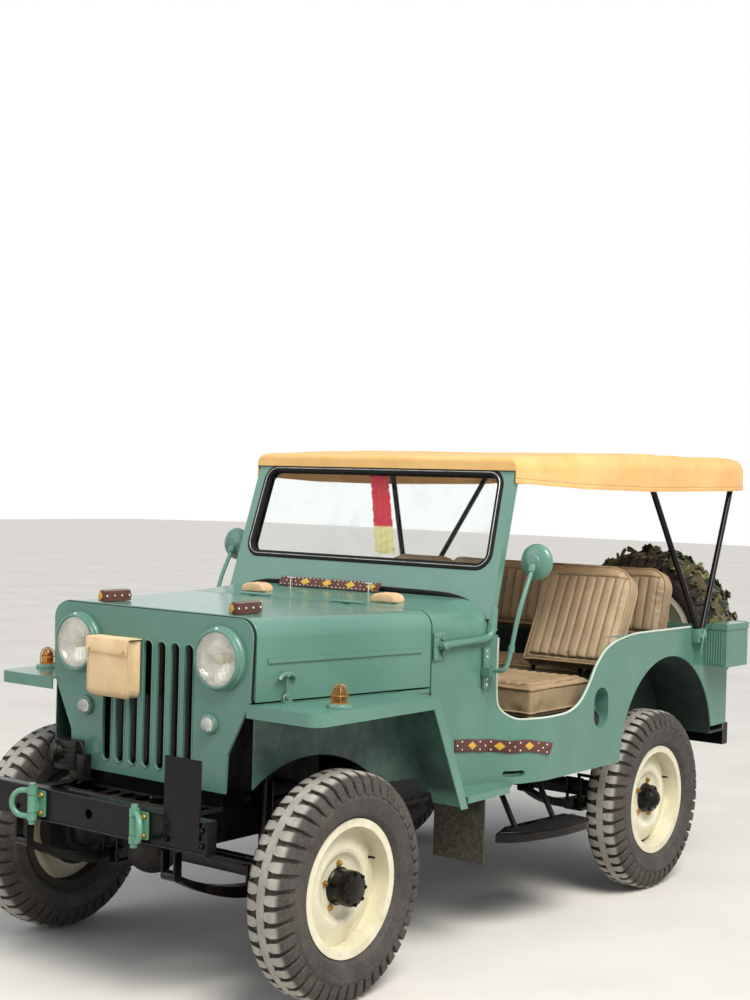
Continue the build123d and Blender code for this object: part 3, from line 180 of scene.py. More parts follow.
class Finish:
    """A Principled material with short calls for the nodes that feed it."""

    def __init__(self, name, rough=0.5, metal=0.0):
        self.material = bpy.data.materials.new(name)
        self.material.use_nodes = True
        self.tree = self.material.node_tree
        self.shader = self.tree.nodes["Principled BSDF"]
        self.set("Roughness", rough)
        self.set("Metallic", metal)
        self.places = self.node("TexCoord").outputs["Object"]

    def put(self, socket, value):
        """Links a socket, or sets a plain value."""
        if isinstance(value, bpy.types.NodeSocket):
            self.tree.links.new(value, socket)
        elif isinstance(value, tuple) and len(value) == 3 and len(socket.default_value) == 4:
            socket.default_value = (*value, 1)
        else:
            socket.default_value = value

    def node(self, kind, inputs=None, **settings):
        """A node with its settings, and its inputs filled by name or number."""
        node = self.tree.nodes.new("ShaderNode" + kind)
        for key, value in settings.items():
            setattr(node, key, value)
        for key, value in (inputs or {}).items():
            self.put(node.inputs[key], value)
        return node

    def stretched(self, scale):
        return self.node("Mapping", {"Scale": scale, "Vector": self.places}).outputs[0]

    def noise(self, scale, detail=4.0, rough=0.55, places=None, twist=0.0):
        inputs = {"Vector": self.places if places is None else places, "Scale": scale, "Detail": detail}
        return self.node("TexNoise", {**inputs, "Roughness": rough, "Distortion": twist}).outputs["Fac"]

    def cells(self, scale):
        return self.node("TexVoronoi", {"Vector": self.places, "Scale": scale}).outputs["Distance"]

    def bands(self, scale, direction):
        inputs = {"Vector": self.places, "Scale": scale, "Detail Scale": 1.5}
        return self.node("TexWave", inputs, bands_direction=direction).outputs["Fac"]

    def attribute(self, name):
        return self.node("Attribute", attribute_name=name).outputs["Fac"]

    def axis(self, index):
        return self.node("SeparateXYZ", {0: self.places}).outputs[index]

    def ramp(self, value, low, high, out_low=0.0, out_high=1.0):
        inputs = {"From Min": low, "From Max": high, "To Min": out_low, "To Max": out_high, "Value": value}
        return self.node("MapRange", inputs, interpolation_type="SMOOTHSTEP").outputs["Result"]

    def blots(self, scale, detail, rough, low, high, out_low=0.0, out_high=1.0):
        """Noise cut to soft-edged patches."""
        return self.ramp(self.noise(scale, detail, rough), low, high, out_low, out_high)

    def math(self, kind, a, b=0.0):
        return self.node("Math", {0: a, 1: b}, operation=kind).outputs[0]

    def times(self, a, b):
        return self.math("MULTIPLY", a, b)

    def plus(self, a, b):
        return self.math("ADD", a, b)

    def mix(self, share, a, b):
        return self.node("Mix", {0: share, 6: a, 7: b}, data_type="RGBA").outputs[2]

    def bump(self, height, distance, strength=0.6, under=None):
        inputs = {"Strength": strength, "Distance": distance, "Height": height}
        if under is not None:
            inputs["Normal"] = under
        return self.node("Bump", inputs).outputs[0]

    def colour(self, value):
        self.set("Base Color", value)

    def rough(self, value):
        self.set("Roughness", value)

    def normal(self, value):
        self.set("Normal", value)

    def set(self, name, value):
        self.put(self.shader.inputs[name], value)


def srgb(red, green, blue):
    """A linear colour from 0 to 255 screen values."""
    parts = [c / 255 for c in (red, green, blue)]
    return tuple(c / 12.92 if c <= 0.04045 else ((c + 0.055) / 1.055) ** 2.4 for c in parts)


def shaded(colour, share):
    return tuple(c * share for c in colour)


# %% [markdown]
# Old green enamel: brushed on, slightly uneven, dusty low down, with a few worn spots. Below the front
# fenders' tops and inside the rear wheel arches it is darkened by painted shade, patchy with road dirt.

# %% Paints
DUST, RUST = srgb(158, 140, 118), srgb(122, 72, 40)
FRONT_APRON, REAR_ARCH = (AXLE_Y - 0.218, AXLE_Y + 0.57), (AXLE_Y + 1.63, AXLE_Y + 2.583)
FENDER_UNDERSIDE, ARCH_TOP, TUB_FACE = 0.938, 1.0, 0.7445


def arch_shade_and_dirt(f):
    """How much painted shade and road dirt darken the paint at a place, from 0 to 1."""
    across, along, high = f.math("ABSOLUTE", f.axis(0)), f.axis(1), f.axis(2)
    first, last = FRONT_APRON
    under = f.times(f.ramp(high, FENDER_UNDERSIDE, 0.925), f.ramp(along, last, last - 0.02))
    under = f.times(under, f.ramp(along, first, first + 0.01))
    first, last = REAR_ARCH
    inside = f.times(f.ramp(high, ARCH_TOP, 0.96), f.ramp(along, first - 0.01, first))
    inside = f.times(inside, f.ramp(along, last, last - 0.003))
    under = f.times(under, f.blots(6.0, 5.0, 0.7, 0.35, 0.65, 0.5, 0.85))
    either = f.times(f.math("MAXIMUM", under, inside), f.ramp(across, TUB_FACE, TUB_FACE - 0.001))
    return f.times(either, f.blots(4.0, 5.0, 0.7, 0.2, 0.5, 0.72, 0.93))


def enamel(name, base, dark, light, shine=0.2, dust_top=0.75, wear=0.0, grime_and_shade=False):
    f = Finish(name, rough=shine)
    tone = f.mix(f.blots(1.7, 2.0, 0.5, 0.3, 0.7), dark, base)
    tone = f.mix(f.times(f.blots(4.0, 4.0, 0.6, 0.4, 0.75), 0.5), tone, light)
    dusty = f.times(f.ramp(f.axis(2), dust_top, 0.15, 0.0, 0.5), f.blots(9.0, 6.0, 0.75, 0.45, 0.7))
    tone = f.mix(dusty, tone, DUST)
    # Painted shade, patchy with road dirt: the tone goes nearly black under the front fenders and inside the rear
    # arches.
    if grime_and_shade:
        shade_and_dirt = arch_shade_and_dirt(f)
        tone = f.mix(shade_and_dirt, tone, srgb(14, 18, 16))
        dusty = f.math("MAXIMUM", dusty, shade_and_dirt)
    if wear:
        tone = f.mix(f.blots(55.0, 8.0, 0.8, 0.69, 0.73, 0.0, wear), tone, RUST)
    f.colour(tone)
    fine = f.blots(38.0, 5.0, 0.7, 0.35, 0.75)
    f.rough(f.plus(f.times(fine, 0.05), f.plus(f.times(dusty, 0.4), shine)))
    strokes, runs = f.noise(160.0, 3.0, 0.6), f.noise(5.0, 2.0, 0.5)
    f.normal(f.bump(strokes, 0.00006, 0.4, f.bump(runs, 0.001, 0.25)))
    return f.material


def black_metal(name, base, dusty_high=0.6, shine=0.24, dust=0.3):
    f = Finish(name, rough=shine)
    dusty = f.times(f.blots(11.0, 7.0, 0.75, 0.4, 0.68), f.ramp(f.axis(2), dusty_high, 0.2, 0.03, dust))
    f.colour(f.mix(dusty, base, srgb(92, 76, 62)))
    f.rough(f.plus(f.times(dusty, 0.4), shine))
    f.set("Specular IOR Level", 0.22)
    f.normal(f.bump(f.noise(90.0, 5.0, 0.7), 0.0004, 0.5))
    return f.material


def rubber(name, base, dusty, amount=0.8, grain=260.0):
    f = Finish(name)
    f.set("Specular IOR Level", 0.25)
    share = f.times(f.times(f.blots(6.0, 6.0, 0.7, 0.3, 0.72), f.blots(60.0, 6.0, 0.75, 0.35, 0.7)), amount)
    f.colour(f.mix(share, base, dusty))
    f.rough(f.ramp(share, 0.0, 0.6, 0.74, 0.95))
    f.normal(f.bump(f.noise(grain, 4.0, 0.7), 0.0003, 0.5))
    return f.material


def woven(name, base, dark, light, folds=0.0):
    """Cloth with a plain weave, faded in broad patches."""
    f = Finish(name, rough=0.85)
    tone = f.mix(f.blots(3.0, 5.0, 0.65, 0.3, 0.7), dark, base)
    f.colour(f.mix(f.times(f.blots(14.0, 7.0, 0.75, 0.5, 0.8), 0.5), tone, light))
    f.set("Sheen Weight", 0.2)
    normal = f.bump(f.plus(f.bands(45.0, "X"), f.bands(45.0, "Y")), 0.0003, 0.35)
    if folds:
        normal = f.bump(f.noise(4.5, 3.0, 0.5), folds, 0.6, normal)
    f.normal(normal)
    return f.material


def steel(name, base, shine=0.4, metal=1.0):
    f = Finish(name, metal=metal)
    worn = f.blots(20.0, 6.0, 0.7, 0.35, 0.7)
    f.colour(f.mix(worn, base, shaded(base, 0.55)))
    f.rough(f.ramp(worn, 0.0, 1.0, shine, shine + 0.25))
    f.normal(f.bump(f.noise(140.0, 4.0, 0.6), 0.0002, 0.4))
    return f.material


def clear_glass(name, tint):
    f = Finish(name)
    f.set("Transmission Weight", 1.0)
    f.set("IOR", 1.12)
    smear = f.blots(7.0, 6.0, 0.7, 0.45, 0.8)
    f.colour(f.mix(smear, tint, shaded(tint, 0.9)))
    f.rough(f.ramp(smear, 0.0, 1.0, 0.02, 0.14))
    return f.material


GREEN = enamel("green_paint", srgb(91, 132, 118), srgb(82, 123, 109), srgb(100, 141, 126), grime_and_shade=True)
PALE_GREEN = enamel("pale_green_paint", srgb(92, 148, 122), srgb(80, 134, 110), srgb(112, 162, 136), wear=0.5)
CREAM = enamel("cream_paint", srgb(248, 246, 234), srgb(240, 236, 218), srgb(250, 249, 240), 0.28, 0.35, 0.6)
LENS = enamel("lens_cover", srgb(226, 218, 198), srgb(214, 202, 178), srgb(236, 232, 220), 0.16, 0.2)
BLACK = black_metal("black_paint", srgb(6, 6, 7), dust=0.15)
RUSTY_BLACK = black_metal("dusty_black_steel", srgb(20, 19, 18), 0.9, 0.4, 0.6)
SIDEWALL = rubber("tyre_sidewall", srgb(40, 38, 38), srgb(98, 82, 72), 0.9)
RUBBER = rubber("black_rubber", srgb(12, 12, 13), srgb(52, 50, 47), 0.35)
CANVAS = woven("tan_canvas", srgb(176, 134, 88), srgb(152, 112, 70), srgb(196, 158, 112), 0.012)
VINYL = woven("beige_vinyl", srgb(212, 192, 154), srgb(192, 170, 132), srgb(226, 210, 178))
BROWN_LEATHER = woven("dark_leather", srgb(62, 40, 32), srgb(44, 28, 24), srgb(96, 66, 50))
RED_CLOTH = woven("red_cloth", srgb(150, 34, 36), srgb(120, 24, 28), srgb(176, 52, 48))
BRIGHT = steel("bright_steel", srgb(210, 208, 200), 0.25)
BRASS = steel("brass_bolt", srgb(190, 150, 84), 0.35)
CAST = steel("cast_steel", srgb(46, 42, 40), 0.55, 0.4)
MIRROR = steel("mirror_face", srgb(232, 236, 238), 0.06)
GLASS = clear_glass("screen_glass", (0.93, 0.97, 0.95))
FLOOR = Finish("floor_paper", rough=0.9)
FLOOR.colour(FLOOR.mix(FLOOR.blots(1.5, 3.0, 0.55, 0.3, 0.7), srgb(214, 210, 204), srgb(222, 218, 212)))
floor_mesh.materials.append(FLOOR.material)

# %% [markdown]
# Every CAD node gets one of them.

# %% CAD nodes
FINISHES = {
    "green_paint": GREEN,
    "black_paint": BLACK,
    "cream_paint": CREAM,
    "light_green_paint": PALE_GREEN,
    "tyre_rubber": SIDEWALL,
    "black_rubber": RUBBER,
    "glass": GLASS,
    "lens": LENS,
    "canvas": CANVAS,
    "vinyl": VINYL,
    "leather": BROWN_LEATHER,
    "cloth": RED_CLOTH,
    "cast_steel": CAST,
    "mirror_back": GREEN,
}


def painted(node, finish):
    mesh = NODES[node].data
    mesh.materials.clear()
    mesh.materials.append(finish)


for row in frame["record"]["subparts"]:
    painted(row["node"], FINISHES[row["material_slot"]])
print("finished", sum(len(n.data.materials) for n in NODES.values()), "nodes")

# %% [markdown]
# Small hardware is drawn as rings of points joined into a skin, the way a hull is planked. One collector
# holds the faces of a piece in millimetres from the front axle, then makes a mesh that already stands in
# its place. Loose points written one by one are easier to check against the car than a chain of operators.

# %% Workpiece
UP, AHEAD, ORIGIN = Vector((0, 0, 1)), Vector((0, -1, 0)), at(0, 0, 0)
TO_ZERO = Matrix.Translation(-ORIGIN)
THINNEST = 0.02
SAME_POINT_M = 0.00008


def shown(name, mesh):
    """A new object in the scene."""
    piece = bpy.data.objects.new(name, mesh)
    scene.collection.objects.link(piece)
    return piece


def enlist(piece, body):
    """Shows a finished piece, and lets it move with a body."""
    if not piece.users_collection:
        scene.collection.objects.link(piece)
    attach(piece, body)
    return piece


def plain(source, name):
    """The evaluated object as a plain mesh at the origin. The source and its modifiers are removed."""
    graph = bpy.context.evaluated_depsgraph_get()
    mesh = bpy.data.meshes.new_from_object(source.evaluated_get(graph))
    bpy.data.objects.remove(source)
    mesh.name = name
    return bpy.data.objects.new(name, mesh)


def shaped(source, name, kind, **settings):
    """An object as a plain mesh after one modifier."""
    if not source.users_collection:
        scene.collection.objects.link(source)
    step = source.modifiers.new(kind.lower(), kind)
    for key, value in settings.items():
        setattr(step, key, value)
    return plain(source, name)


def shade(mesh, degrees=38):
    mesh.shade_smooth()
    mesh.set_sharp_from_angle(angle=math.radians(degrees))


def painted_piece(piece, body, finish, degrees):
    """A plain mesh with its finish, smooth shading and body."""
    piece.data.materials.append(finish)
    shade(piece.data, degrees)
    return enlist(piece, body)


def circle(steps, start=0.0):
    """Even turns round a circle, in radians."""
    return [start + math.tau * i / steps for i in range(steps)]


class Workpiece:
    """Faces collected in millimetres from the front axle. Each shape call returns the piece."""

    def __init__(self):
        self.points, self.faces, self.kinds = [], [], []

    def skin(self, rings, kind=0, looped=True, joined=False, capped=True):
        """Rings of equal length joined by quads, with a face over each end unless the skin closes on itself."""
        count, start = len(rings[0]), len(self.points)
        faces = []
        for r in range(len(rings) if joined else len(rings) - 1):
            a, b = r * count, (r + 1) % len(rings) * count
            for i in range(count if looped else count - 1):
                j = (i + 1) % count
                faces.append((a + i, a + j, b + j, b + i))
        if capped and not joined:
            last = (len(rings) - 1) * count
            faces += [tuple(range(count))[::-1], tuple(range(last, last + count))]
        self.points += [Vector(p) for ring in rings for p in ring]
        self.faces += [[start + i for i in face] for face in faces]
        self.kinds += [kind] * len(faces)
        return self

    def turned(self, profile, place, axis, steps=40, kind=0, joined=False):
        """A profile of (radius, distance along) turned about an axis through a place."""
        along = Vector(axis).normalized()
        side = UP if abs(along.z) < 0.9 else Vector((1, 0, 0))
        side = (side - along * side.dot(along)).normalized()
        up = along.cross(side)
        rims = [side * math.cos(a) + up * math.sin(a) for a in circle(steps)]
        rings = [[Vector(place) + along * d + rim * max(r, THINNEST) for rim in rims] for r, d in profile]
        return self.skin(rings, kind, joined=joined)

    def bar(self, path, radius, steps=12, kind=0, wide=1.0, closed=False):
        """A bar along a path. radius may be one number or one for each point; wide stretches it sideways."""
        path = [Vector(p) for p in path]
        radii = radius if isinstance(radius, (list, tuple)) else [radius] * len(path)
        last, rings, side = len(path) - 1, [], None
        for i, p in enumerate(path):
            ahead = path[(i + 1) % len(path)] if closed or i < last else p
            behind = path[i - 1] if closed or i > 0 else p
            along = (ahead - behind).normalized()
            if side is None:
                side = along.cross(UP) if abs(along.z) < 0.95 else along.orthogonal()
            side = (side - along * side.dot(along)).normalized()
            up = side.cross(along)
            rings.append([p + (side * math.cos(a) * wide + up * math.sin(a)) * radii[i] for a in circle(steps)])
        return self.skin(rings, kind, joined=closed)

    def slab(self, low, high):
        """A block between two corners."""
        foot = [(low[0], low[1]), (high[0], low[1]), (high[0], high[1]), (low[0], high[1])]
        return self.skin([[(x, y, z) for x, y in foot] for z in (low[2], high[2])])

    def mesh(self, name):
        shape = bmesh.new()
        corners = [shape.verts.new(at(*p)) for p in self.points]
        for face, kind in zip(self.faces, self.kinds):
            shape.faces.new([corners[i] for i in face]).material_index = kind
        bmesh.ops.remove_doubles(shape, verts=shape.verts, dist=SAME_POINT_M)
        bmesh.ops.recalc_face_normals(shape, faces=shape.faces)
        mesh = bpy.data.meshes.new(name)
        shape.to_mesh(mesh)
        shape.free()
        return mesh

    def made(self, name, body, slot, *finishes, bevel=0.0, rounds=0, degrees=38):
        """The mesh piece, with its edges broken by a bevel in millimetres or rounded by subdivision."""
        piece = shown(name, self.mesh(name))
        if bevel:
            limit = {"limit_method": "ANGLE", "angle_limit": math.radians(degrees)}
            piece = shaped(piece, name, "BEVEL", width=bevel / 1000, segments=2, **limit)
        if rounds:
            piece = shaped(piece, name, "SUBSURF", levels=rounds, render_levels=rounds)
        for finish in finishes[:-1]:
            piece.data.materials.append(finish)
        return painted_piece(piece, body, finishes[-1], degrees)


def between(a, b, share):
    return a + (b - a) * share


def clamp(value):
    return max(0.0, min(1.0, value))


def arc(centre, radius, start, end, steps):
    """Points on part of an upright circle that faces ahead, with angles in degrees."""
    turns = [math.radians(between(start, end, i / steps)) for i in range(steps + 1)]
    return [Vector(centre) + Vector((math.cos(a), 0, math.sin(a))) * radius for a in turns]


def flowing(points, steps=6):
    """A smooth line through some points, as a Catmull-Rom curve."""
    points = [Vector(p) for p in points]
    ends = [points[0] * 2 - points[1]] + points + [points[-1] * 2 - points[-2]]
    line = []
    for a, b, c, d in zip(ends, ends[1:], ends[2:], ends[3:]):
        for t in (k / steps for k in range(steps)):
            bend, twist = 2 * a - 5 * b + 4 * c - d, 3 * b - a - 3 * c + d
            line.append(0.5 * (2 * b + (c - a) * t + bend * t**2 + twist * t**3))
    return line + [points[-1]]


print("workpiece ready")

# %% [markdown]
# Nuts, studs, stitches, leaves and tread bars are one small shape repeated many times. Geometry Nodes do
# this: the tree reads points that carry the direction they face, sets one copy on each, makes them real
# and gives them their finish. Copies made by hand would be slower to change.

# %% Repeats


class Recipe:
    """A Geometry Nodes tree with named inputs."""

    def __init__(self, name, **inputs):
        self.tree = bpy.data.node_groups.new(name, "GeometryNodeTree")
        face = self.tree.interface
        face.new_socket("Geometry", in_out="INPUT", socket_type="NodeSocketGeometry")
        self.keys = {}
        for label, kind in inputs.items():
            self.keys[label] = face.new_socket(label, in_out="INPUT", socket_type="NodeSocket" + kind).identifier
        face.new_socket("Geometry", in_out="OUTPUT", socket_type="NodeSocketGeometry")
        self.given = self.tree.nodes.new("NodeGroupInput").outputs
        self.end = self.tree.nodes.new("NodeGroupOutput")

    def node(self, kind, inputs, **settings):
        """The outputs of a node, with its settings made and its inputs filled by name or number."""
        node = self.tree.nodes.new(kind)
        for key, value in settings.items():
            setattr(node, key, value)
        for key, value in inputs.items():
            if isinstance(value, bpy.types.NodeSocket):
                self.tree.links.new(value, node.inputs[key])
            else:
                node.inputs[key].default_value = value
        return node.outputs

    def math(self, kind, a, b):
        return self.node("ShaderNodeMath", {0: a, 1: b}, operation=kind)[0]

    def close(self, points, copy, rotation, **scale):
        """Sets the copies on the points, makes them real, gives them the finish and ends the tree."""
        inputs = {"Points": points, "Instance": copy, "Rotation": rotation, **scale}
        copies = self.node("GeometryNodeInstanceOnPoints", inputs)[0]
        real = self.node("GeometryNodeRealizeInstances", {0: copies})[0]
        done = self.node("GeometryNodeSetMaterial", {0: real, "Material": self.given["Finish"]})[0]
        self.tree.links.new(done, self.end.inputs[0])

    def use(self, source, name, **values):
        """Runs the tree on an object and returns the result as a plain mesh."""
        step = source.modifiers.new("repeat", "NODES")
        step.node_group = self.tree
        for label, value in values.items():
            step[self.keys[label]] = value
        return plain(source, name)


ON_POINTS = Recipe("set_on_points", Copy="Object", Size="Float", Spread="Float", Seed="Int", Finish="Material")


def carried(name):
    return ON_POINTS.node("GeometryNodeInputNamedAttribute", {"Name": name}, data_type="FLOAT_VECTOR")[0]


ALIGN = "FunctionNodeAlignRotationToVector"
stood = ON_POINTS.node(ALIGN, {"Vector": carried("facing")}, axis="Z")[0]
headed = ON_POINTS.node(ALIGN, {"Rotation": stood, "Vector": carried("heading")}, axis="X", pivot_axis="Z")[0]
copied = ON_POINTS.node("GeometryNodeObjectInfo", {"Object": ON_POINTS.given["Copy"]})["Geometry"]
chance = ON_POINTS.node("FunctionNodeRandomValue", {"Min": -1.0, "Max": 1.0, "Seed": ON_POINTS.given["Seed"]})[1]
vary = ON_POINTS.math("MULTIPLY", chance, ON_POINTS.given["Spread"])
grown = ON_POINTS.math("ADD", vary, ON_POINTS.given["Size"])
ON_POINTS.close(ON_POINTS.given["Geometry"], copied, headed, Scale=grown)


def repeated(name, small, places, body, finish, size=1.0, spread=0.0, seed=5):
    """Copies of a small workpiece drawn round zero, at places of (point, facing, heading)."""
    mould = shown(name + "_mould", small.mesh(name + "_mould"))
    mould.data.transform(TO_ZERO)
    dots = bpy.data.meshes.new(name + "_points")
    dots.from_pydata([at(*point) for point, _, _ in places], [], [])
    for column, key in ((1, "facing"), (2, "heading")):
        values = dots.attributes.new(key, "FLOAT_VECTOR", "POINT")
        values.data.foreach_set("vector", [c for row in places for c in Vector(row[column])])
    source = shown(name + "_points", dots)
    piece = ON_POINTS.use(source, name, Copy=mould, Size=size, Spread=spread, Seed=seed, Finish=finish)
    bpy.data.objects.remove(mould)
    shade(piece.data)
    return enlist(piece, body)


def small_turned(profile, steps):
    """A small turned shape round zero, with Z as its axis."""
    return Workpiece().turned(profile, (0, 0, 0), UP, steps)


HEX_NUT = small_turned([(9.5, 0), (10, 1), (10, 8), (9, 9.5), (5, 9.5), (5, 13), (4, 14)], 6)
ROUND_RIVET = small_turned([(6, 0), (6, 0.8), (4.6, 2.4), (2.2, 3.2)], 10)
print("repeats ready")

# %% [markdown]
# A tyre of this kind is a smooth black carcass with heavy cross bars. The bars start beside a narrow rib
# in the middle of the crown, bend at the shoulder and end on the sidewall, and the two sides are staggered
# by half a step. The carcass is turned from its profile. One pair of bars is drawn, and Geometry Nodes set
# it round the tyre.

# %% Tyre carcass
TYRE_RADIUS, TREAD_BARS, HALF_TRACK, WHEELBASE = 368, 46, 650, 2032
TYRE_HALF_PROFILE = (
    (367.2, 0), (367.2, 14), (358, 17.5), (355, 46), (340, 60), (318, 70), (304, 77), (297, 82.5), (290, 84.4),
    (287, 85.0), (284, 83.9), (262, 83.2), (246, 77.5), (240, 75.5), (238, 72.5), (231, 66), (226, 59), (222, 56),
    (205, 56),
)
AXLES = (("front", 0), ("rear", WHEELBASE))
WHEELS = {f"{end}_{name}": (side * HALF_TRACK, y, side) for end, y in AXLES for side, name in SIDES}


def tyre_finish():
    """Black rubber, pale and scuffed where the bars meet the road, brown with dust elsewhere."""
    f = Finish("tyre_rubber", rough=0.75)
    wear = f.attribute("wear")
    blot = f.blots(9.0, 6.0, 0.75, 0.3, 0.7)
    speck = f.blots(85.0, 5.0, 0.8, 0.35, 0.7)
    side = f.mix(f.times(blot, 0.6), srgb(36, 36, 37), srgb(82, 76, 70))
    crown = f.mix(blot, srgb(142, 138, 130), srgb(176, 172, 162))
    deep = f.mix(speck, srgb(46, 41, 38), srgb(84, 74, 66))
    tone = f.mix(f.ramp(wear, 0.2, 0.45), deep, side)
    tone = f.mix(f.ramp(wear, 0.55, 0.95), tone, crown)
    f.colour(f.mix(f.times(speck, 0.22), tone, srgb(112, 102, 92)))
    f.normal(f.bump(f.noise(240.0, 4.0, 0.7), 0.0004, 0.5, f.bump(f.noise(34.0, 4.0, 0.6), 0.0009, 0.4)))
    return f.material


TYRE_FINISH = tyre_finish()
whole = [(r, -x) for r, x in TYRE_HALF_PROFILE[:0:-1]] + list(TYRE_HALF_PROFILE)
carcass_mesh = Workpiece().turned(whole, (0, 0, 0), (1, 0, 0), 128, joined=True).mesh("carcass")
carcass_mesh.transform(TO_ZERO)
print("carcass faces", len(carcass_mesh.polygons))

# %% [markdown]
# Each bar is a loft of seven sections with a small chamfer, narrow and rounded beside the rib. The pair is
# one mesh, and the tree turns copies of it about the axle.

# %% Tread bars
BAR_TOP = ((13, 368), (20, 368), (36, 368), (50, 365), (61.5, 358), (71, 348), (77.5, 333), (81.5, 316), (84.2, 301))
BAR_FOOT = ((13, 352), (20, 352), (36, 350), (46, 348), (54, 340), (61, 330), (66, 318), (69, 306), (73, 296))
BAR_WIDTH = (8, 15, 18.5, 18.5, 18.8, 18.8, 18.4, 17.4, 15.0)
BAR_LEAN = (0, 0, 0, 0.8, 2.6, 5.0, 7.0, 8.0, 8.4)


def tread_bar(work, side, phase):
    rings = []
    for (x, top), (low_x, low), half, lean in zip(BAR_TOP, BAR_FOOT, BAR_WIDTH, BAR_LEAN):
        ring = []
        for across, share in ((-1, 0), (-1, 0.78), (-0.86, 1), (0.86, 1), (1, 0.78), (1, 0)):
            place_x, radius = between(low_x, x, share), between(low, top, share)
            angle = phase + (across * half * radius / TYRE_RADIUS + lean) / radius
            ring.append((side * place_x, radius * math.sin(angle), radius * math.cos(angle)))
        rings.append(ring)
    return work.skin(rings)


bars = tread_bar(tread_bar(Workpiece(), 1, 0.0), -1, math.pi / TREAD_BARS)
bar_pair = shown("bar_pair", bars.mesh("bar_pair"))
bar_pair.data.transform(TO_ZERO)

TREAD_RING = Recipe("tread_ring", Count="Int", Finish="Material")
dots = TREAD_RING.node("GeometryNodeMeshLine", {"Count": TREAD_RING.given["Count"], "Offset": (0, 0, 0)})[0]
number = TREAD_RING.node("GeometryNodeInputIndex", {})[0]
angle = TREAD_RING.math("MULTIPLY", number, TREAD_RING.math("DIVIDE", math.tau, TREAD_RING.given["Count"]))
about = TREAD_RING.node("ShaderNodeCombineXYZ", {0: angle})[0]
TREAD_RING.close(dots, TREAD_RING.given["Geometry"], about)
tread = TREAD_RING.use(bar_pair, "tread", Count=TREAD_BARS, Finish=TYRE_FINISH)
print("tread faces", len(tread.data.polygons))

# %% [markdown]
# The rubber's finish reads a wear value from the mesh: high on the crown, low in the grooves.

# %% Tyres in place


def set_wear(mesh, of_bars):
    values = mesh.attributes.new("wear", "FLOAT", "POINT")
    for i, v in enumerate(mesh.vertices):
        radius = math.hypot(v.co.y, v.co.z) * 1000
        if of_bars:
            off_top = min(abs(radius - r) + abs(abs(v.co.x) * 1000 - x) for x, r in BAR_TOP)
            values.data[i].value = clamp((radius - 352) / 14) * 0.6 + 0.4 if off_top < 3 else 0.1
        else:
            values.data[i].value = 1.0 if radius > 366 else 0.0 if radius > 300 else 0.5


set_wear(tread.data, True)
set_wear(carcass_mesh, False)


def tyre(name, place, turn, body, node):
    for part, source in (("carcass", carcass_mesh), ("bars", tread.data)):
        mesh = source.copy()
        mesh.transform(Matrix.Translation(at(*place)) @ Matrix.Rotation(turn, 4, "Z"))
        mesh.materials.clear()
        piece = bpy.data.objects.new(f"tyre_{part}_{name}", mesh)
        painted_piece(piece, body, TYRE_FINISH, 30)
        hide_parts(node)


HUB_Z, SPARE = 368, (290, 2755, 981)
for name, (x, y, side) in WHEELS.items():
    tyre(name, (x, y, HUB_Z), 0 if side > 0 else math.pi, "wheel_" + name, "tyre_" + name)
tyre("spare", SPARE, math.pi / 2, "car", "spare_tyre")
print("tyres", len(WHEELS) + 1)
# %% [markdown]
# The wheels are cream enamel outside and darker within. The CAD rims already have the right dished discs,
# so they only get paint whose colour changes at the disc, with rust where the nuts sit.

# %% Wheel paint


def wheel_paint():
    f = Finish("wheel_paint", rough=0.34)
    tone = f.mix(f.blots(7.0, 5.0, 0.65, 0.3, 0.7), srgb(206, 200, 172), srgb(226, 221, 197))
    grime_and_shade = f.blots(26.0, 8.0, 0.8, 0.5, 0.72)
    tone = f.mix(f.times(grime_and_shade, 0.35), tone, srgb(166, 146, 112))
    tone = f.mix(f.blots(60.0, 8.0, 0.85, 0.66, 0.7, 0.0, 0.8), tone, RUST)
    # Darker on the inner side of each rim.
    inner = f.ramp(f.math("ABSOLUTE", f.axis(0)), 0.640, 0.632)
    f.colour(f.mix(inner, tone, srgb(44, 38, 34)))
    f.rough(f.plus(f.times(grime_and_shade, 0.25), f.ramp(inner, 0.0, 1.0, 0.34, 0.8)))
    f.normal(f.bump(f.noise(120.0, 4.0, 0.7), 0.0003, 0.4))
    return f.material


WHEEL_PAINT = wheel_paint()
for name in WHEELS:
    NODES["wheel_" + name].data.materials[0] = WHEEL_PAINT

# %% [markdown]
# The drive hubs are black castings held by a ring of bolts, with five brass-coloured nuts round them. The
# thin dark line where the disc is pressed into the rim is a ring of its own, and so is the valve.

# %% Hubs and nuts
DISC_FACE = 656
OUTER_HUB = (
    (61, 0.4), (61, 5), (58, 8), (56.4, 10), (56.2, 34), (57.5, 37), (57.5, 60), (55.5, 66), (54.8, 69), (47, 70.5),
    (42, 76), (34, 79), (20, 80), (14, 82), (3, 82.5),
)
REAR_HUB = (
    (61, 0.4), (61, 5), (58, 8), (55.6, 10), (55.4, 30), (54.8, 35.5), (47, 37), (38, 44), (30, 58), (16, 66), (3, 68),
)
SEAM = ((199.5, -9.5), (199.5, -6.5), (196.5, -6), (196.5, -9.5))


def nut_ring(side, y, lift, radius, count, start=0.0):
    """Places for nuts round a hub, some millimetres outside the disc."""
    x, out = side * (DISC_FACE + lift), Vector((side, 0, 0))
    return [((x, y + radius * math.cos(a), HUB_Z + radius * math.sin(a)), out, UP) for a in circle(count, start)]


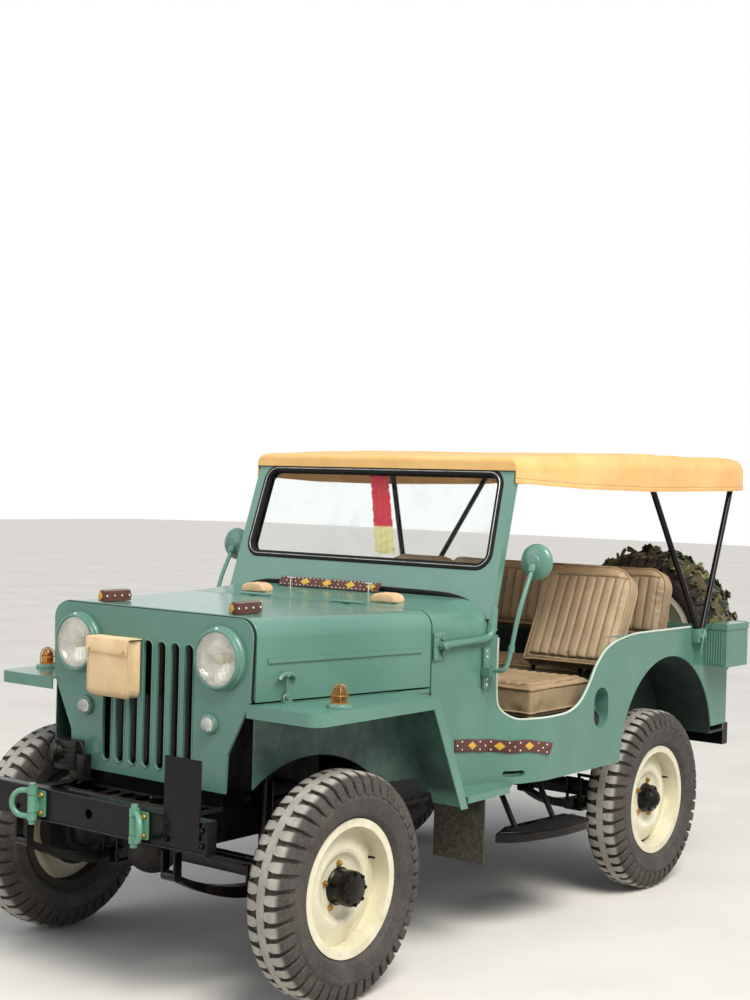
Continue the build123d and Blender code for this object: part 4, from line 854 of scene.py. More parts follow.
for name, (x, y, side) in WHEELS.items():
    front = name.startswith("front")
    face = side * DISC_FACE
    hub = Workpiece().turned(OUTER_HUB if front else REAR_HUB, (face, y, HUB_Z), (side, 0, 0), 48)
    hub.made("hub_" + name, "wheel_" + name, "black_paint", BLACK)
    ring = Workpiece().turned(SEAM, (face, y, HUB_Z), (side, 0, 0), 72, joined=True)
    stem = Vector((face - side * 4, y + 152, HUB_Z + 66))
    ring.bar([stem, stem + Vector((side * 14, 4, 1)), stem + Vector((side * 28, 5, 1))], [5, 4, 3.2], 10)
    ring.made("rim_seam_" + name, "wheel_" + name, "black_rubber", RUBBER)
    spots = nut_ring(side, y, 0.6, 74, 5, 0.35 if front else 0.1)
    repeated("wheel_nuts_" + name, HEX_NUT, spots, "wheel_" + name, BRASS, size=1.05)
    spots = nut_ring(side, y, 69, 48.5, 8) if front else nut_ring(side, y, 36, 46, 6)
    repeated("hub_bolts_" + name, HEX_NUT, spots, "wheel_" + name, BLACK, size=0.72 if front else 0.6)
print("wheels dressed")
# %% [markdown]
# Each headlamp is a green bezel with two steps round a domed, ribbed lens, with a silvered bowl behind it.
# Glass alone would look empty, so the bowl and the bulb shield are real pieces.

# %% Headlamps
GRILLE_FRONT = -224
LAMP_X, LAMP_Z = 333, 1080


def ribbed_lens(name, tint, pitch, rough=0.05, clear=0.93):
    """Cast glass with upright flutes, hazy enough to hide what is behind it."""
    f = Finish(name, rough=rough)
    f.set("Transmission Weight", clear)
    f.set("IOR", 1.4)
    f.colour(f.mix(f.blots(13.0, 5.0, 0.7, 0.3, 0.7), tint, shaded(tint, 0.93)))
    flutes = f.plus(f.bands(pitch, "X"), f.times(f.bands(pitch * 0.35, "Z"), 0.4))
    f.normal(f.bump(flutes, 0.0006, 0.45))
    return f.material


LENS_GLASS = ribbed_lens("headlamp_lens", srgb(248, 247, 240), 22.0)
SMALL_GLASS = ribbed_lens("small_lens", srgb(232, 232, 226), 34.0, 0.08, 0.7)
BOWL = steel("silvered_bowl", srgb(252, 252, 250), 0.25, 0.4)
AMBER_GLASS = ribbed_lens("amber_lens", srgb(222, 140, 44), 40.0)
RED_GLASS = ribbed_lens("red_lens", srgb(150, 24, 20), 40.0)

LAMP_STEPS, BEZEL_RINGS = 64, 12
BEZEL = (
    (3, -60), (60, -60), (80, 0.3), (105.5, 0.3), (106, 4), (104.5, 12), (101, 17), (99.5, 18), (99.5, 22), (97, 28),
    (92, 31.5), (88.5, 31), (87, 27), (84, 20), (60, -4), (20, -20), (3, -22),
)
LENS_DOME = ((87.4, 24), (87.4, 27.5), (70, 33.5), (45, 38.6), (20, 41.2), (2, 41.8))
BULB_SHIELD = ((3, -18), (14, -14), (17, 8), (10, 14), (2, 15))

for side, name in SIDES:
    centre = Vector((side * LAMP_X, GRILLE_FRONT, LAMP_Z))
    bezel = Workpiece().turned(BEZEL, centre, AHEAD, LAMP_STEPS)
    green_faces = LAMP_STEPS * BEZEL_RINGS
    bezel.kinds[green_faces:] = [1] * (len(bezel.kinds) - green_faces)
    screw = centre + Vector((0, -26, 98))
    bezel.turned([(4, -3), (4, 3), (2, 4)], screw, (0, -1, 0.3), 10, kind=1)
    lamp = bezel.made("headlamp_" + name, "car", "green_paint", GREEN, BOWL, degrees=30)
    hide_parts("headlamps")
    glass = Workpiece().turned(LENS_DOME, centre, AHEAD, LAMP_STEPS)
    glass.made("headlamp_lens_" + name, "car", "lens", LENS_GLASS, degrees=50)
    Workpiece().turned(BULB_SHIELD, centre, AHEAD, 24).made("headlamp_bulb_" + name, "car", "lens", LENS)
print("headlamps ready")

# %% [markdown]
# The small lamps: a fluted parking lamp in a green ring under each headlamp, an amber lamp in a wire cage on
# each fender, and a red lamp on each side of the tail.

# %% Small lamps
PARKING_X, PARKING_Z = 291, 866
MARKER_X, MARKER_Y, FENDER_TOP = 690, -60, 946
TAIL_X, TAIL_Y, TAIL_Z = 650, 2588, 900
PARKING_RING = ((3, 0.3), (34, 0.3), (34, 8), (32, 12), (28.5, 13), (27, 10), (3, 9))
PARKING_DOME = ((27.5, 9.5), (27.5, 14), (25, 22), (18, 29), (9, 32.5), (2, 33))
CAGE_FOOT = ((3, 12), (28, 12), (28, 17), (25, 19), (3, 19))
MARKER_BASE = ((3, 0.3), (41, 0.3), (41, 6), (38, 12), (30, 14.5), (3, 14.5))
MARKER_DOME = ((3, 15), (21, 15), (22, 20), (21.5, 48), (18, 60), (10, 68), (2, 70))
TAIL_BODY = ((3, 0.3), (38, 0.3), (38, 22), (36, 27), (32, 28), (31, 24), (3, 24))
TAIL_DOME = ((31, 24), (31, 29), (24, 33), (12, 34.8), (2, 35))

for side, name in SIDES:
    centre = (side * PARKING_X, GRILLE_FRONT, PARKING_Z)
    ring = Workpiece().turned(PARKING_RING, centre, AHEAD, 40)
    parking = ring.made("parking_lamp_" + name, "car", "green_paint", GREEN)
    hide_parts("small_lamps")
    Workpiece().turned(PARKING_DOME, centre, AHEAD, 32).made("parking_lens_" + name, "car", "lens", SMALL_GLASS)
    foot = Vector((side * MARKER_X, MARKER_Y, FENDER_TOP))
    cage = Workpiece().turned(CAGE_FOOT, foot, UP, 40)
    for a in (45, 135, 225, 315):
        out = Vector((math.cos(math.radians(a)), math.sin(math.radians(a)), 0))
        low = foot + out * 26 + UP * 12
        cage.bar(flowing([low, low + UP * 36, low + UP * 54 - out * 8, foot + UP * 75], 4), 1.8, 8)
    hoop = [foot + Vector((26.5 * math.cos(t), 26.5 * math.sin(t), 40)) for t in circle(28)]
    cage.bar(hoop, 1.6, 8, closed=True).made("marker_cage_" + name, "car", "light_green_paint", BRASS)
    Workpiece().turned(MARKER_BASE, foot, UP, 40).made("marker_base_" + name, "car", "green_paint", GREEN)
    Workpiece().turned(MARKER_DOME, foot, UP, 28).made("marker_lens_" + name, "car", "lens", AMBER_GLASS)
    place = (side * TAIL_X, TAIL_Y, TAIL_Z)
    Workpiece().turned(TAIL_BODY, place, -AHEAD, 36).made("tail_lamp_" + name, "car", "black_paint", BLACK)
    Workpiece().turned(TAIL_DOME, place, -AHEAD, 32).made("tail_lens_" + name, "car", "lens", RED_GLASS)
print("small lamps ready")
# %% [markdown]
# The grille's slots are pressed with rolled lips. A thin bar round each slot catches the light as the real
# edge does. The lips of one panel are a single piece.

# %% Grille lips
SLOT_COUNT, SLOT_PITCH, SLOT_HALF = 7, 63.3, 20
SLOT_BOTTOM, SLOT_TOP = 690, 1113

lips = Workpiece()
for i in range(SLOT_COUNT):
    x = (i - (SLOT_COUNT - 1) / 2) * SLOT_PITCH
    line = arc((x, GRILLE_FRONT - 0.6, SLOT_TOP - SLOT_HALF), SLOT_HALF + 1.6, 0, 180, 10)
    line += arc((x, GRILLE_FRONT - 0.6, SLOT_BOTTOM + SLOT_HALF), SLOT_HALF + 1.6, 180, 360, 10)
    lips.bar(line, 2.6, 8, closed=True)
lips.made("grille_lips", "car", "green_paint", GREEN, degrees=60)

# %% [markdown]
# Rivets, screws and bolts hold the panels. They are set from short lists of places, so that a missing one is
# easy to add.

# %% Bolts on the front
BUMPER_FRONT, BUMPER_LOW, BUMPER_HIGH = -470, 517, 621
spots = [((x, BUMPER_FRONT, z), AHEAD, (1, 0, 0)) for x in (-500, -352, 352, 500) for z in (545, 592)]
repeated("bumper_bolts", HEX_NUT, spots, "car", BLACK)
spots = [((x, BUMPER_FRONT - 10, z), AHEAD, (1, 0, 0)) for x in (215, 265, -265, -215) for z in (543, 602)]
repeated("shackle_bolts", HEX_NUT, spots, "car", BRASS, size=0.9)
edge = Workpiece()
for z in (BUMPER_HIGH - 2, BUMPER_LOW + 2):
    edge.bar([(-523, BUMPER_FRONT - 1, z), (523, BUMPER_FRONT - 1, z)], 4, 10)
edge.made("bumper_edges", "car", "black_paint", BLACK)
print("front hardware ready")
# %% [markdown]
# The roof is one piece of tan canvas pulled over the two hoops and the screen's top rail. It is a grid of
# points: each row is an arch across the car, and the rows run from the front drop over the top to the tail.
# The cloth sags a little between the hoops, and short folds run up the loose sides. The sheet gets its
# thickness last.

# %% Roof canvas
# Each section: y, half width, foot, top, corner radius.
ROOF_SECTIONS = (
    (1003, 638, 1668, 1763, 40),
    (1437, 680, 1652, 1790, 60),
    (1937, 700, 1648, 1803, 64),
    (2755, 700, 1660, 1808, 64),
    (2840, 682, 1664, 1804, 60),
)
SUPPORTS, SAG, FRONT_FOOT, REAR_FOOT = (1003, 1937, 2815), 9, 1714, 1666
SIDE_STEPS, CORNER_STEPS, TOP_STEPS, LONG_STEPS = 7, 8, 18, 80


def roof_section(y):
    for a, b in zip(ROOF_SECTIONS, ROOF_SECTIONS[1:]):
        if y <= b[0]:
            share = (y - a[0]) / (b[0] - a[0])
            return [between(p, q, share) for p, q in zip(a[1:], b[1:])]
    return list(ROOF_SECTIONS[-1][1:])


def roof_arch(y, inset):
    """Points across the roof at y, with the way each one faces, from the left hem to the right hem."""
    half, foot, top, corner = roof_section(y)
    half, top, corner = half - inset, top - inset, corner - inset / 2
    shares = [i / SIDE_STEPS for i in range(SIDE_STEPS)]
    row = [((half, between(foot, top - corner, s)), (1, 0), s - 1) for s in shares]
    for i in range(CORNER_STEPS):
        a = math.radians(90 * i / CORNER_STEPS)
        place = (half - corner + corner * math.cos(a), top - corner + corner * math.sin(a))
        row.append((place, (math.cos(a), math.sin(a)), 0))
    shares = [i / TOP_STEPS for i in range(TOP_STEPS)]
    row += [((between(half - corner, 0, s), top), (0, 1), 0.05 + s) for s in shares]
    row.append(((0, top), (0, 1), 1.05))
    return row + [((-x, z), (-nx, nz), s) for (x, z), (nx, nz), s in row[-2::-1]]


def sag(x, y):
    """How far the top drops between its supports, in millimetres."""
    near = min(abs(y - e) for e in SUPPORTS)
    span = 440 if y < SUPPORTS[1] else 439
    drop = SAG * math.sin(min(near / span, 1.0) * math.pi / 2) ** 2
    return drop * (1 - (abs(x) / 700) ** 2)


def fold(x, y, s):
    """Small waves: broad on the top, short and upright down the sides."""
    across, along = x * 0.001, y * 0.001
    broad = 1.3 * math.sin(9.1 * along + 3.7 * across + 0.4) + 0.9 * math.sin(17.3 * along - 11.9 * across + 1.9)
    broad += 0.8 * math.sin(31.0 * along + 7.0 * across) * math.sin(5.0 * across + 1.0)
    if s >= 0:
        return broad
    folds = 3.2 * math.sin(24.0 * along + 0.6 * math.sin(9.0 * along)) + 2.2 * math.sin(51.0 * along + 1.3)
    return broad * 0.4 + folds * (-s) ** 1.4


def roof_grid(inset=1.6, turn=16.0):
    """Rows of points from the front drop over the top to the tail."""
    rows = []
    front, rear = ROOF_SECTIONS[0][0] + inset, ROOF_SECTIONS[-1][0] - inset
    for end, sign, foot, steps in ((front, 1, FRONT_FOOT, 4), (rear, -1, REAR_FOOT, 8)):
        top = roof_section(end)[2] - inset
        row = [(end, between(foot, top - turn, i / steps)) for i in range(steps)]
        for a in (math.radians(15 * i) for i in range(7)):
            row.append((end + sign * turn * (1 - math.cos(a)), top - turn + turn * math.sin(a)))
        rows.append(row)
    first, last = rows[0][-1][0], rows[1][-1][0]
    middle = [(between(first, last, i / LONG_STEPS), None) for i in range(1, LONG_STEPS)]
    grid = []
    for y, level in rows[0] + middle + rows[1][::-1]:
        calm = clamp(min(y - front, rear - y) / 60)
        ring = []
        for (x, z), (nx, nz), s in roof_arch(y, inset):
            push = fold(x, y, s) * calm
            high = z + nz * min(push, 1.0) - sag(x, y) * calm * nz
            ring.append(Vector((x + nx * min(push, 2.6), y, high if level is None else min(high, level))))
        grid.append(ring)
    return grid


def cloth_area(piece):
    return sum(p.area for p in piece.data.polygons)


def sheet_piece(name, rows, body, finish, thickness, degrees):
    """A grid of points as cloth with a thickness, and the area of its one layer."""
    piece = shown(name, Workpiece().skin(rows, looped=False, capped=False).mesh(name))
    area = cloth_area(piece)
    piece = shaped(piece, name, "SOLIDIFY", thickness=thickness, offset=0.0)
    return painted_piece(piece, body, finish, degrees), area


def canvas(name, base, dark, light):
    """Cotton duck: a plain weave seen close up, faded in broad patches, with painted shade in soft creases."""
    f = Finish(name, rough=0.85)
    crease = f.ramp(f.noise(9.0, 3.0, 0.5, f.stretched((1.0, 0.35, 1.0)), 1.4), 0.46, 0.54)
    tone = f.mix(f.blots(3.2, 5.0, 0.62, 0.3, 0.7), dark, base)
    tone = f.mix(f.times(f.blots(17.0, 8.0, 0.75, 0.48, 0.78), 0.4), tone, light)
    # Painted shade: the tone darkens a little in the soft crease bands.
    f.colour(f.mix(f.times(crease, 0.12), tone, dark))
    f.set("Sheen Weight", 0.15)
    weave = f.plus(f.bands(190.0, "X"), f.plus(f.bands(190.0, "Y"), f.bands(190.0, "Z")))
    wrinkle = f.noise(12.0, 4.0, 0.55, f.stretched((1.0, 0.5, 1.0)), 0.8)
    f.normal(f.bump(weave, 0.0004, 0.4, f.bump(wrinkle, 0.005, 0.5)))
    return f.material


ROOF_CANVAS = canvas("roof_canvas", srgb(238, 190, 120), srgb(224, 170, 100), srgb(246, 210, 148))
grid = roof_grid()
roof_piece, roof_area = sheet_piece("roof_canvas", grid, "car", ROOF_CANVAS, 0.0026, 60)
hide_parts("canopy")

# %% [markdown]
# The hem is a doubled strip along the lower edge, with one row of stitches. It is a flat tube that follows
# the sheet's own edge, so it waves with the cloth.

# %% Roof hem and stitches
hem = Workpiece()
stitch_spots = []
for edge, out in ((0, 1), (-1, -1)):
    line = [row[edge] + Vector((out * 0.2, 0, 11)) for row in grid[4:-8]]
    hem.bar(line, 11.5, 10, wide=0.24)
    run = flowing(line, 9)
    stitch_spots += [(a + Vector((out * 3.0, 0, 9)), (out, 0, 0), b - a) for a, b in zip(run[::2], run[1::2])]
hem_piece = hem.made("roof_hem", "car", "canvas", ROOF_CANVAS, degrees=70)
stitch = Workpiece().bar([(-3.4, 0, 0.1), (-1.6, 0, 0.7), (1.6, 0, 0.7), (3.4, 0, 0.1)], [0.5, 0.8, 0.8, 0.5], 5)
THREAD = woven("pale_thread", srgb(214, 190, 150), srgb(196, 170, 130), srgb(228, 208, 172))
roof_stitches = repeated("roof_stitches", stitch, stitch_spots, "car", THREAD)
print("roof hem and", len(stitch_spots), "stitches")
# %% [markdown]
# The seats are foam under pale vinyl, sewn in slanting channels with a piped edge. Foam swells between its
# seams, so each pad starts as the CAD block, is rebuilt as an even mesh and is blown up a little by the cloth
# solver. Then the sewn channels are pressed in by moving points, because a solver can't hold such a fine line.

# %% Pads from CAD blocks
PAD_GAP_M = 0.004
AIR_PRESSURE, AIR_FRAMES = 4.0, 20


def solids_of(node):
    """The separate solids of a CAD node, each as a merged mesh, from the left to the right."""
    shape = bmesh.new()
    shape.from_mesh(NODES[node].data)
    bmesh.ops.remove_doubles(shape, verts=shape.verts, dist=1e-5)
    todo, groups = set(shape.verts), []
    while todo:
        seed = todo.pop()
        group, edge = {seed}, [seed]
        while edge:
            for link in edge.pop().link_edges:
                for v in link.verts:
                    if v in todo:
                        todo.discard(v)
                        group.add(v)
                        edge.append(v)
        groups.append(group)
    meshes = []
    for group in groups:
        order = {v: i for i, v in enumerate(sorted(group, key=lambda v: v.index))}
        faces = [[order[v] for v in f.verts] for f in shape.faces if f.verts[0] in group]
        mesh = bpy.data.meshes.new(node + "_solid")
        mesh.from_pydata([v.co.copy() for v in order], [], faces)
        meshes.append(mesh)
    shape.free()
    return sorted(meshes, key=lambda m: -sum(v.co.x for v in m.vertices) / len(m.vertices))


def numbers(rows, key):
    """One vector of each row, as an array of three columns."""
    flat = np.empty(len(rows) * 3)
    rows.foreach_get(key, flat)
    return flat.reshape(-1, 3)


def store(mesh, points):
    mesh.vertices.foreach_set("co", np.ascontiguousarray(points).ravel())
    mesh.update()


def blown(mesh, name, voxel, reach):
    """A padded copy of a block: remeshed evenly, shrunk, inflated and kept within a reach of its start."""
    piece = shaped(bpy.data.objects.new(name, mesh), name, "REMESH", mode="VOXEL", voxel_size=voxel)
    scene.collection.objects.link(piece)
    points = numbers(piece.data.vertices, "co")
    low, high = points.min(0), points.max(0)
    start = (low + high) / 2 + (points - (low + high) / 2) * (1 - 2 * PAD_GAP_M / (high - low))
    store(piece.data, start)
    cloth = piece.modifiers.new("air", "CLOTH").settings
    cloth.use_pressure = True
    cloth.uniform_pressure_force = AIR_PRESSURE
    cloth.effector_weights.gravity = 0.0
    cloth.quality = 5
    for number in range(AIR_FRAMES):
        scene.frame_set(number + 1)
    piece = plain(piece, name)
    scene.frame_set(1)
    move = numbers(piece.data.vertices, "co") - start
    far = np.linalg.norm(move, axis=1, keepdims=True)
    store(piece.data, start + move * np.minimum(1.0, reach / np.maximum(far, 1e-9)))
    piece = shaped(piece, name, "SUBSURF", levels=1, render_levels=1)
    scene.collection.objects.link(piece)
    return piece


def vinyl(name, base, dark, light):
    """Vinyl cloth with a fine grain, painted shade in its seams, and shiny where people sit."""
    f = Finish(name, rough=0.5)
    seam = f.attribute("seam")
    broad = f.blots(5.0, 5.0, 0.6, 0.3, 0.7)
    tone = f.mix(f.times(f.blots(22.0, 8.0, 0.75, 0.5, 0.75), 0.3), f.mix(broad, dark, base), light)
    # Painted shade: the vinyl goes dark in the pressed seams.
    f.colour(f.mix(f.times(seam, 0.75), tone, shaded(base, 0.32)))
    f.rough(f.ramp(broad, 0.0, 1.0, 0.42, 0.58))
    f.normal(f.bump(f.cells(420.0), 0.0003, 0.4, f.bump(f.noise(26.0, 3.0, 0.5), 0.0012, 0.35)))
    return f.material


SEAT_VINYL = vinyl("seat_vinyl", srgb(176, 153, 121), srgb(150, 128, 98), srgb(196, 174, 144))
print("pads ready")
# %% [markdown]
# Each pad has a panel of upright channels on the side people lean or sit on, and a seam round the panel. A
# point's distance to the nearest seam says how far it is pressed in, and the same number paints shade there.

# %% Channels and piping
CHANNEL_M, SEAM_DEPTH_M, SEAM_WIDTH_M = 0.046, 0.006, 0.0045


def groove(distance):
    """How deep a seam is at a distance, from 0 to 1."""
    return np.exp(-((distance / SEAM_WIDTH_M) ** 2))


def channelled(piece, origin, across, along, panel):
    """Presses seams into the face that looks along across x along. panel is (half width, low, high) in mm."""
    half, low, high = (v / 1000 for v in panel)
    across, along = np.array(across, float), np.array(along, float)
    points, normals = numbers(piece.data.vertices, "co"), numbers(piece.data.vertex_normals, "vector")
    local = points - np.array(origin)
    u, v = local @ across, local @ along
    step = 2 * half / max(2, round(2 * half / CHANNEL_M))
    inside_v = np.clip(np.minimum(v - low, high - v) / 0.006, 0, 1)
    inside_u = np.clip((half + 0.002 - np.abs(u)) / 0.004, 0, 1)
    to_channel = np.abs((u + half) / step - np.round((u + half) / step)) * step
    line = groove(to_channel) * inside_u * inside_v
    rim = groove(np.minimum(np.abs(v - low), np.abs(v - high))) * (np.abs(u) < half + 0.003)
    seam = np.maximum(line, rim)
    roll = (np.cos(np.pi * np.clip(to_channel / (step / 2), 0, 1)) * -0.5 + 0.5) * inside_u * inside_v
    looks = np.clip((normals @ np.cross(across, along) - 0.35) / 0.3, 0, 1)
    push = (roll * 0.45 * SEAM_DEPTH_M - seam * SEAM_DEPTH_M) * looks
    store(piece.data, points + normals * push[:, None])
    # The seam value is kept on the points, and the vinyl finish paints shade into the seams with it.
    mark = piece.data.attributes.new("seam", "FLOAT", "POINT")
    mark.data.foreach_set("value", (seam * looks).astype(np.float32))


def wrapped(piece, line, lift):
    """A line of points moved to the nearest place on a pad, lifted by some millimetres."""
    tree = BVHTree.FromObject(piece, bpy.context.evaluated_depsgraph_get())
    path = []
    for p in line:
        spot, normal, _, _ = tree.find_nearest(at(*p))
        path.append((spot - ORIGIN) * 1000 + normal * lift)
    return path


def rounded_outline(half, length, corner, low_corner=18, inset=3, steps=8):
    """An outline (u, v) with large upper corners and small lower ones, drawn inward by an inset."""
    half, top, foot = half - inset, length - inset, inset
    corner, low_corner = max(corner - inset, 4), max(low_corner - inset, 3)
    line = []
    for cx, cy, r, first in (
        (half - corner, top - corner, corner, 0),
        (corner - half, top - corner, corner, 90),
        (low_corner - half, foot + low_corner, low_corner, 180),
        (half - low_corner, foot + low_corner, low_corner, 270),
    ):
        for i in range(steps + 1):
            a = math.radians(first + 90 * i / steps)
            line.append((cx + r * math.cos(a), cy + r * math.sin(a)))
    full = []
    for a, b in zip(line, line[1:] + line[:1]):
        parts = max(1, round(math.dist(a, b) / 22))
        full += [(between(a[0], b[0], k / parts), between(a[1], b[1], k / parts)) for k in range(parts)]
    return full


# %% [markdown]
# Front seats: a cushion that swells over its tray and a raked back with big upper corners. The rear bench is
# one wide cushion and one wide back.

# %% Seats
PIPING = vinyl("piping", srgb(168, 142, 108), srgb(148, 124, 92), srgb(190, 166, 132))
VOXEL_M = 0.0086
cushions = solids_of("seat_cushions")
backs = solids_of("seat_backs")
print("seat solids", len(cushions), len(backs))


def piped(pad, name, line):
    """A cord along a line on a pad."""
    cord = Workpiece().bar(wrapped(pad, line, 2.2), 4.2, 8, closed=True)
    cord.made(name, "car", "vinyl", PIPING, degrees=80)


def dressed(pad, node):
    pad.data.materials.clear()
    painted_piece(pad, "car", SEAT_VINYL, 80)
    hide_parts(node)


def back_pad(mesh, name, x, y, z, rake, half, length, corner, channels):
    """A back that leans by the rake, from its foot at x, y and z."""
    up = Vector((0, math.sin(math.radians(rake)), math.cos(math.radians(rake))))
    pad = blown(mesh, name, VOXEL_M, 0.014)
    channelled(pad, at(x, y, z), (1, 0, 0), up, channels)
    face = Vector((1, 0, 0)).cross(up)
    for key, back in (("front", 2), ("rear", -68)):
        line = [Vector((x + u, y, z)) + up * v + face * back for u, v in rounded_outline(half, length, corner)]
        piped(pad, f"{name}_piping_{key}", line)
    dressed(pad, "seat_backs")


def cushion(mesh, name, x, y, z, half, length, channels):
    """A cushion with its front edge at y, and channels that run back from there."""
    pad = blown(mesh, name, VOXEL_M, 0.016)
    channelled(pad, at(x, y, z), (1, 0, 0), (0, 1, 0), channels)
    for key, level in (("top", z - 1), ("foot", z - 96)):
        line = [(x + u, y + v, level) for u, v in rounded_outline(half, length, 30, low_corner=30)]
        piped(pad, f"{name}_piping_{key}", line)
    dressed(pad, "seat_cushions")


for (side, name), number in zip(SIDES, (0, 2)):
    cushion(cushions[number], "seat_cushion_" + name, side * 436, 1120, 900, 225, 470, (185, 40, 430))
    back_pad(backs[number], "seat_back_" + name, side * 436, 1725, 925, 26, 225, 465, 115, (178, 34, 400))
cushion(cushions[1], "rear_cushion", 0, 1850, 890, 470, 365, (430, 36, 330))
back_pad(backs[1], "rear_back", 0, 2243, 1012, 15, 600, 325, 100, (550, 30, 270))
print("seats ready")
# %% [markdown]
# A square canvas bag hangs over three slots of the grille, beside the headlamp. Its front panel has a piped
# edge and bulges a little. The sides are gussets with an inward crease, and the bottom corners are round.
# The flap is a second sheet that folds over the top and is snapped at its ends.

# %% Grille bag
BAG_CANVAS = canvas("bag_canvas", srgb(236, 206, 162), srgb(216, 184, 138), srgb(246, 224, 188))
BAG_LOW, BAG_HIGH, BAG_FRONT, BAG_BACK = 916, 1112, -290, -225.5
BAG_LEFT, BAG_RIGHT = -227, -30


def bag_ring(share):
    """One level of the bag, in plan: the front panel, a creased gusset, the back and the other gusset."""
    z = between(BAG_LOW, BAG_HIGH, share)
    round_off = max(0.0, 1 - share / 0.13)
    tuck = 16 * (1 - math.sqrt(max(0.0, 1 - round_off**2)))
    left, right, front = BAG_LEFT + tuck, BAG_RIGHT - tuck, BAG_FRONT + 3 + 1.3 * tuck
    crease = 5 + 9 * share**2 + 4 * round_off
    swell = math.sin(min(1.0, share * 1.3) * math.pi * 0.8)
    ring = []
    for u in (i / 16 for i in range(17)):
        bulge = (3.4 * math.sin(u * math.pi) + 0.8 * math.sin(u * 9 + share * 5)) * swell
        edge = 2.5 * (1 - min(1.0, u * 12, (1 - u) * 12)) ** 2
        ring.append(Vector((between(left, right, u), front - bulge + edge, z)))
    gusset = [(i / 9, crease * (1 - abs(2 * i / 9 - 1)) ** 0.8) for i in range(1, 10)]
    ring += [Vector((right - fold, between(front, BAG_BACK, u), z)) for u, fold in gusset]
    ring += [Vector((between(right, left, i / 8), BAG_BACK, z)) for i in range(1, 9)]
    return ring + [Vector((left + fold, between(BAG_BACK, front, u), z)) for u, fold in gusset[:-1]]


levels = (0.0, 0.008, 0.02, 0.04, 0.065, 0.1, 0.14, 0.2, 0.28, 0.37, 0.46, 0.55, 0.64, 0.73, 0.82, 0.9, 0.96, 1.0)
bag_rings = [bag_ring(share) for share in levels]
bag_piece = Workpiece().skin(bag_rings).made("grille_bag", "car", "canvas", BAG_CANVAS, rounds=1, degrees=70)
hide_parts("canvas_bags")
line = [ring[0] + Vector((0.6, -0.6, 0)) for ring in bag_rings[::-1]]
line += [bag_rings[0][i] + Vector((0, -0.6, -0.4)) for i in range(1, 16)]
line += [ring[16] + Vector((-0.6, -0.6, 0)) for ring in bag_rings]
Workpiece().bar(flowing(line, 2), 1.7, 8).made("grille_bag_welt", "car", "canvas", BAG_CANVAS, degrees=70)

flap = Workpiece()
sheet = []
for i in range(21):
    share = i / 20
    row = []
    for k in range(17):
        u = (k / 16 - 0.5) * 2
        x = (BAG_LEFT + BAG_RIGHT) / 2 + u * 100.5
        if share < 0.3:
            a = share / 0.3
            y = between(BAG_BACK + 0.5, BAG_FRONT - 1.0, a)
            z = BAG_HIGH + 2.2 - 2.4 * a**6 + 0.5 * math.sin(a * 6 + u * 3)
        else:
            a = (share - 0.3) / 0.7
            y = BAG_FRONT - 1.4 - 3.2 * math.sin(a * 2.4) * (1 - 0.3 * u * u) + 0.5 * math.sin(u * 7 + a * 4)
            z = BAG_HIGH - a * (50 + 1.5 * math.sin(u * 2.4 + 0.5))
        row.append((x, y, z))
    sheet.append(row)
back = [[(x, y, z - 1.6) for x, y, z in row] for row in sheet[:6]]
back += [[(x, y + 1.6, z) for x, y, z in row] for row in sheet[6:]]
flap.skin(sheet, looped=False, capped=False)
flap.skin(back[::-1], looped=False, capped=False)
ends = [([r[0] for r in back], [r[0] for r in sheet]), ([r[16] for r in sheet], [r[16] for r in back])]
for near, far in ends + [(back[0], sheet[0]), (sheet[20], back[20])]:
    flap.skin([near, far], looped=False, capped=False)
for drop in (3.0, 9.0):
    flap.bar([Vector(p) + Vector((0, -0.3, drop)) for p in sheet[20]], 0.9, 6)
flap.made("grille_bag_flap", "car", "canvas", BAG_CANVAS, degrees=70)
run = flowing([Vector(p) + Vector((0, -1.5, 6)) for p in sheet[20]], 3)
spots = [(a, AHEAD, b - a) for a, b in zip(run, run[1:])]
for x in (BAG_LEFT + 5, BAG_RIGHT - 5):
    spots += [((x, BAG_FRONT + 1.0, z), AHEAD, UP) for z in range(BAG_LOW + 18, BAG_HIGH - 58, 9)]
repeated("grille_bag_stitches", stitch, spots, "car", THREAD, size=0.8)
snap = small_turned([(6, -0.5), (6, 0.6), (4.6, 1.8), (1.5, 2.4)], 14)
spots = [((x, BAG_FRONT - 3.4, BAG_HIGH - 40), AHEAD, (1, 0, 0)) for x in (BAG_LEFT + 17, BAG_RIGHT - 17)]
repeated("grille_bag_snaps", snap, spots, "car", BRASS)
print("bag ready")

# %% [markdown]
# Two tan pads lie on the cowl under the folded screen's rest points, and a dark leather block with pale
# studs stands on each front corner of the hood.

# %% Pads and blocks
PAD_HIDE = canvas("pad_hide", srgb(226, 190, 150), srgb(206, 166, 124), srgb(240, 214, 180))
YELLOW_HIDE = woven("yellow_hide", srgb(206, 168, 62), srgb(184, 144, 48), srgb(224, 192, 96))
BLOCK_HIDE = woven("block_hide", srgb(92, 46, 36), srgb(62, 30, 26), srgb(128, 74, 58))
WHITE_STUD = steel("pale_stud", srgb(226, 220, 206), 0.35, 0.5)


def diamond(half, tall):
    """A sewn diamond patch with a scalloped edge, drawn flat round zero."""
    edge = []
    for a, b in zip(circle(4), circle(4)[1:] + [math.tau]):
        for k in range(6):
            share = k / 6
            x = between(math.cos(a) * half, math.cos(b) * half, share)
            y = between(math.sin(a) * tall, math.sin(b) * tall, share)
            dent = 1 - 0.12 * abs(math.sin(share * math.pi * 3))
            edge.append((x * dent, y * dent))
    levels = ((1, 0), (0.94, 1.6), (0.3, 2.6))
    return Workpiece().skin([[(x * share, y * share, z) for x, y in edge] for share, z in levels])


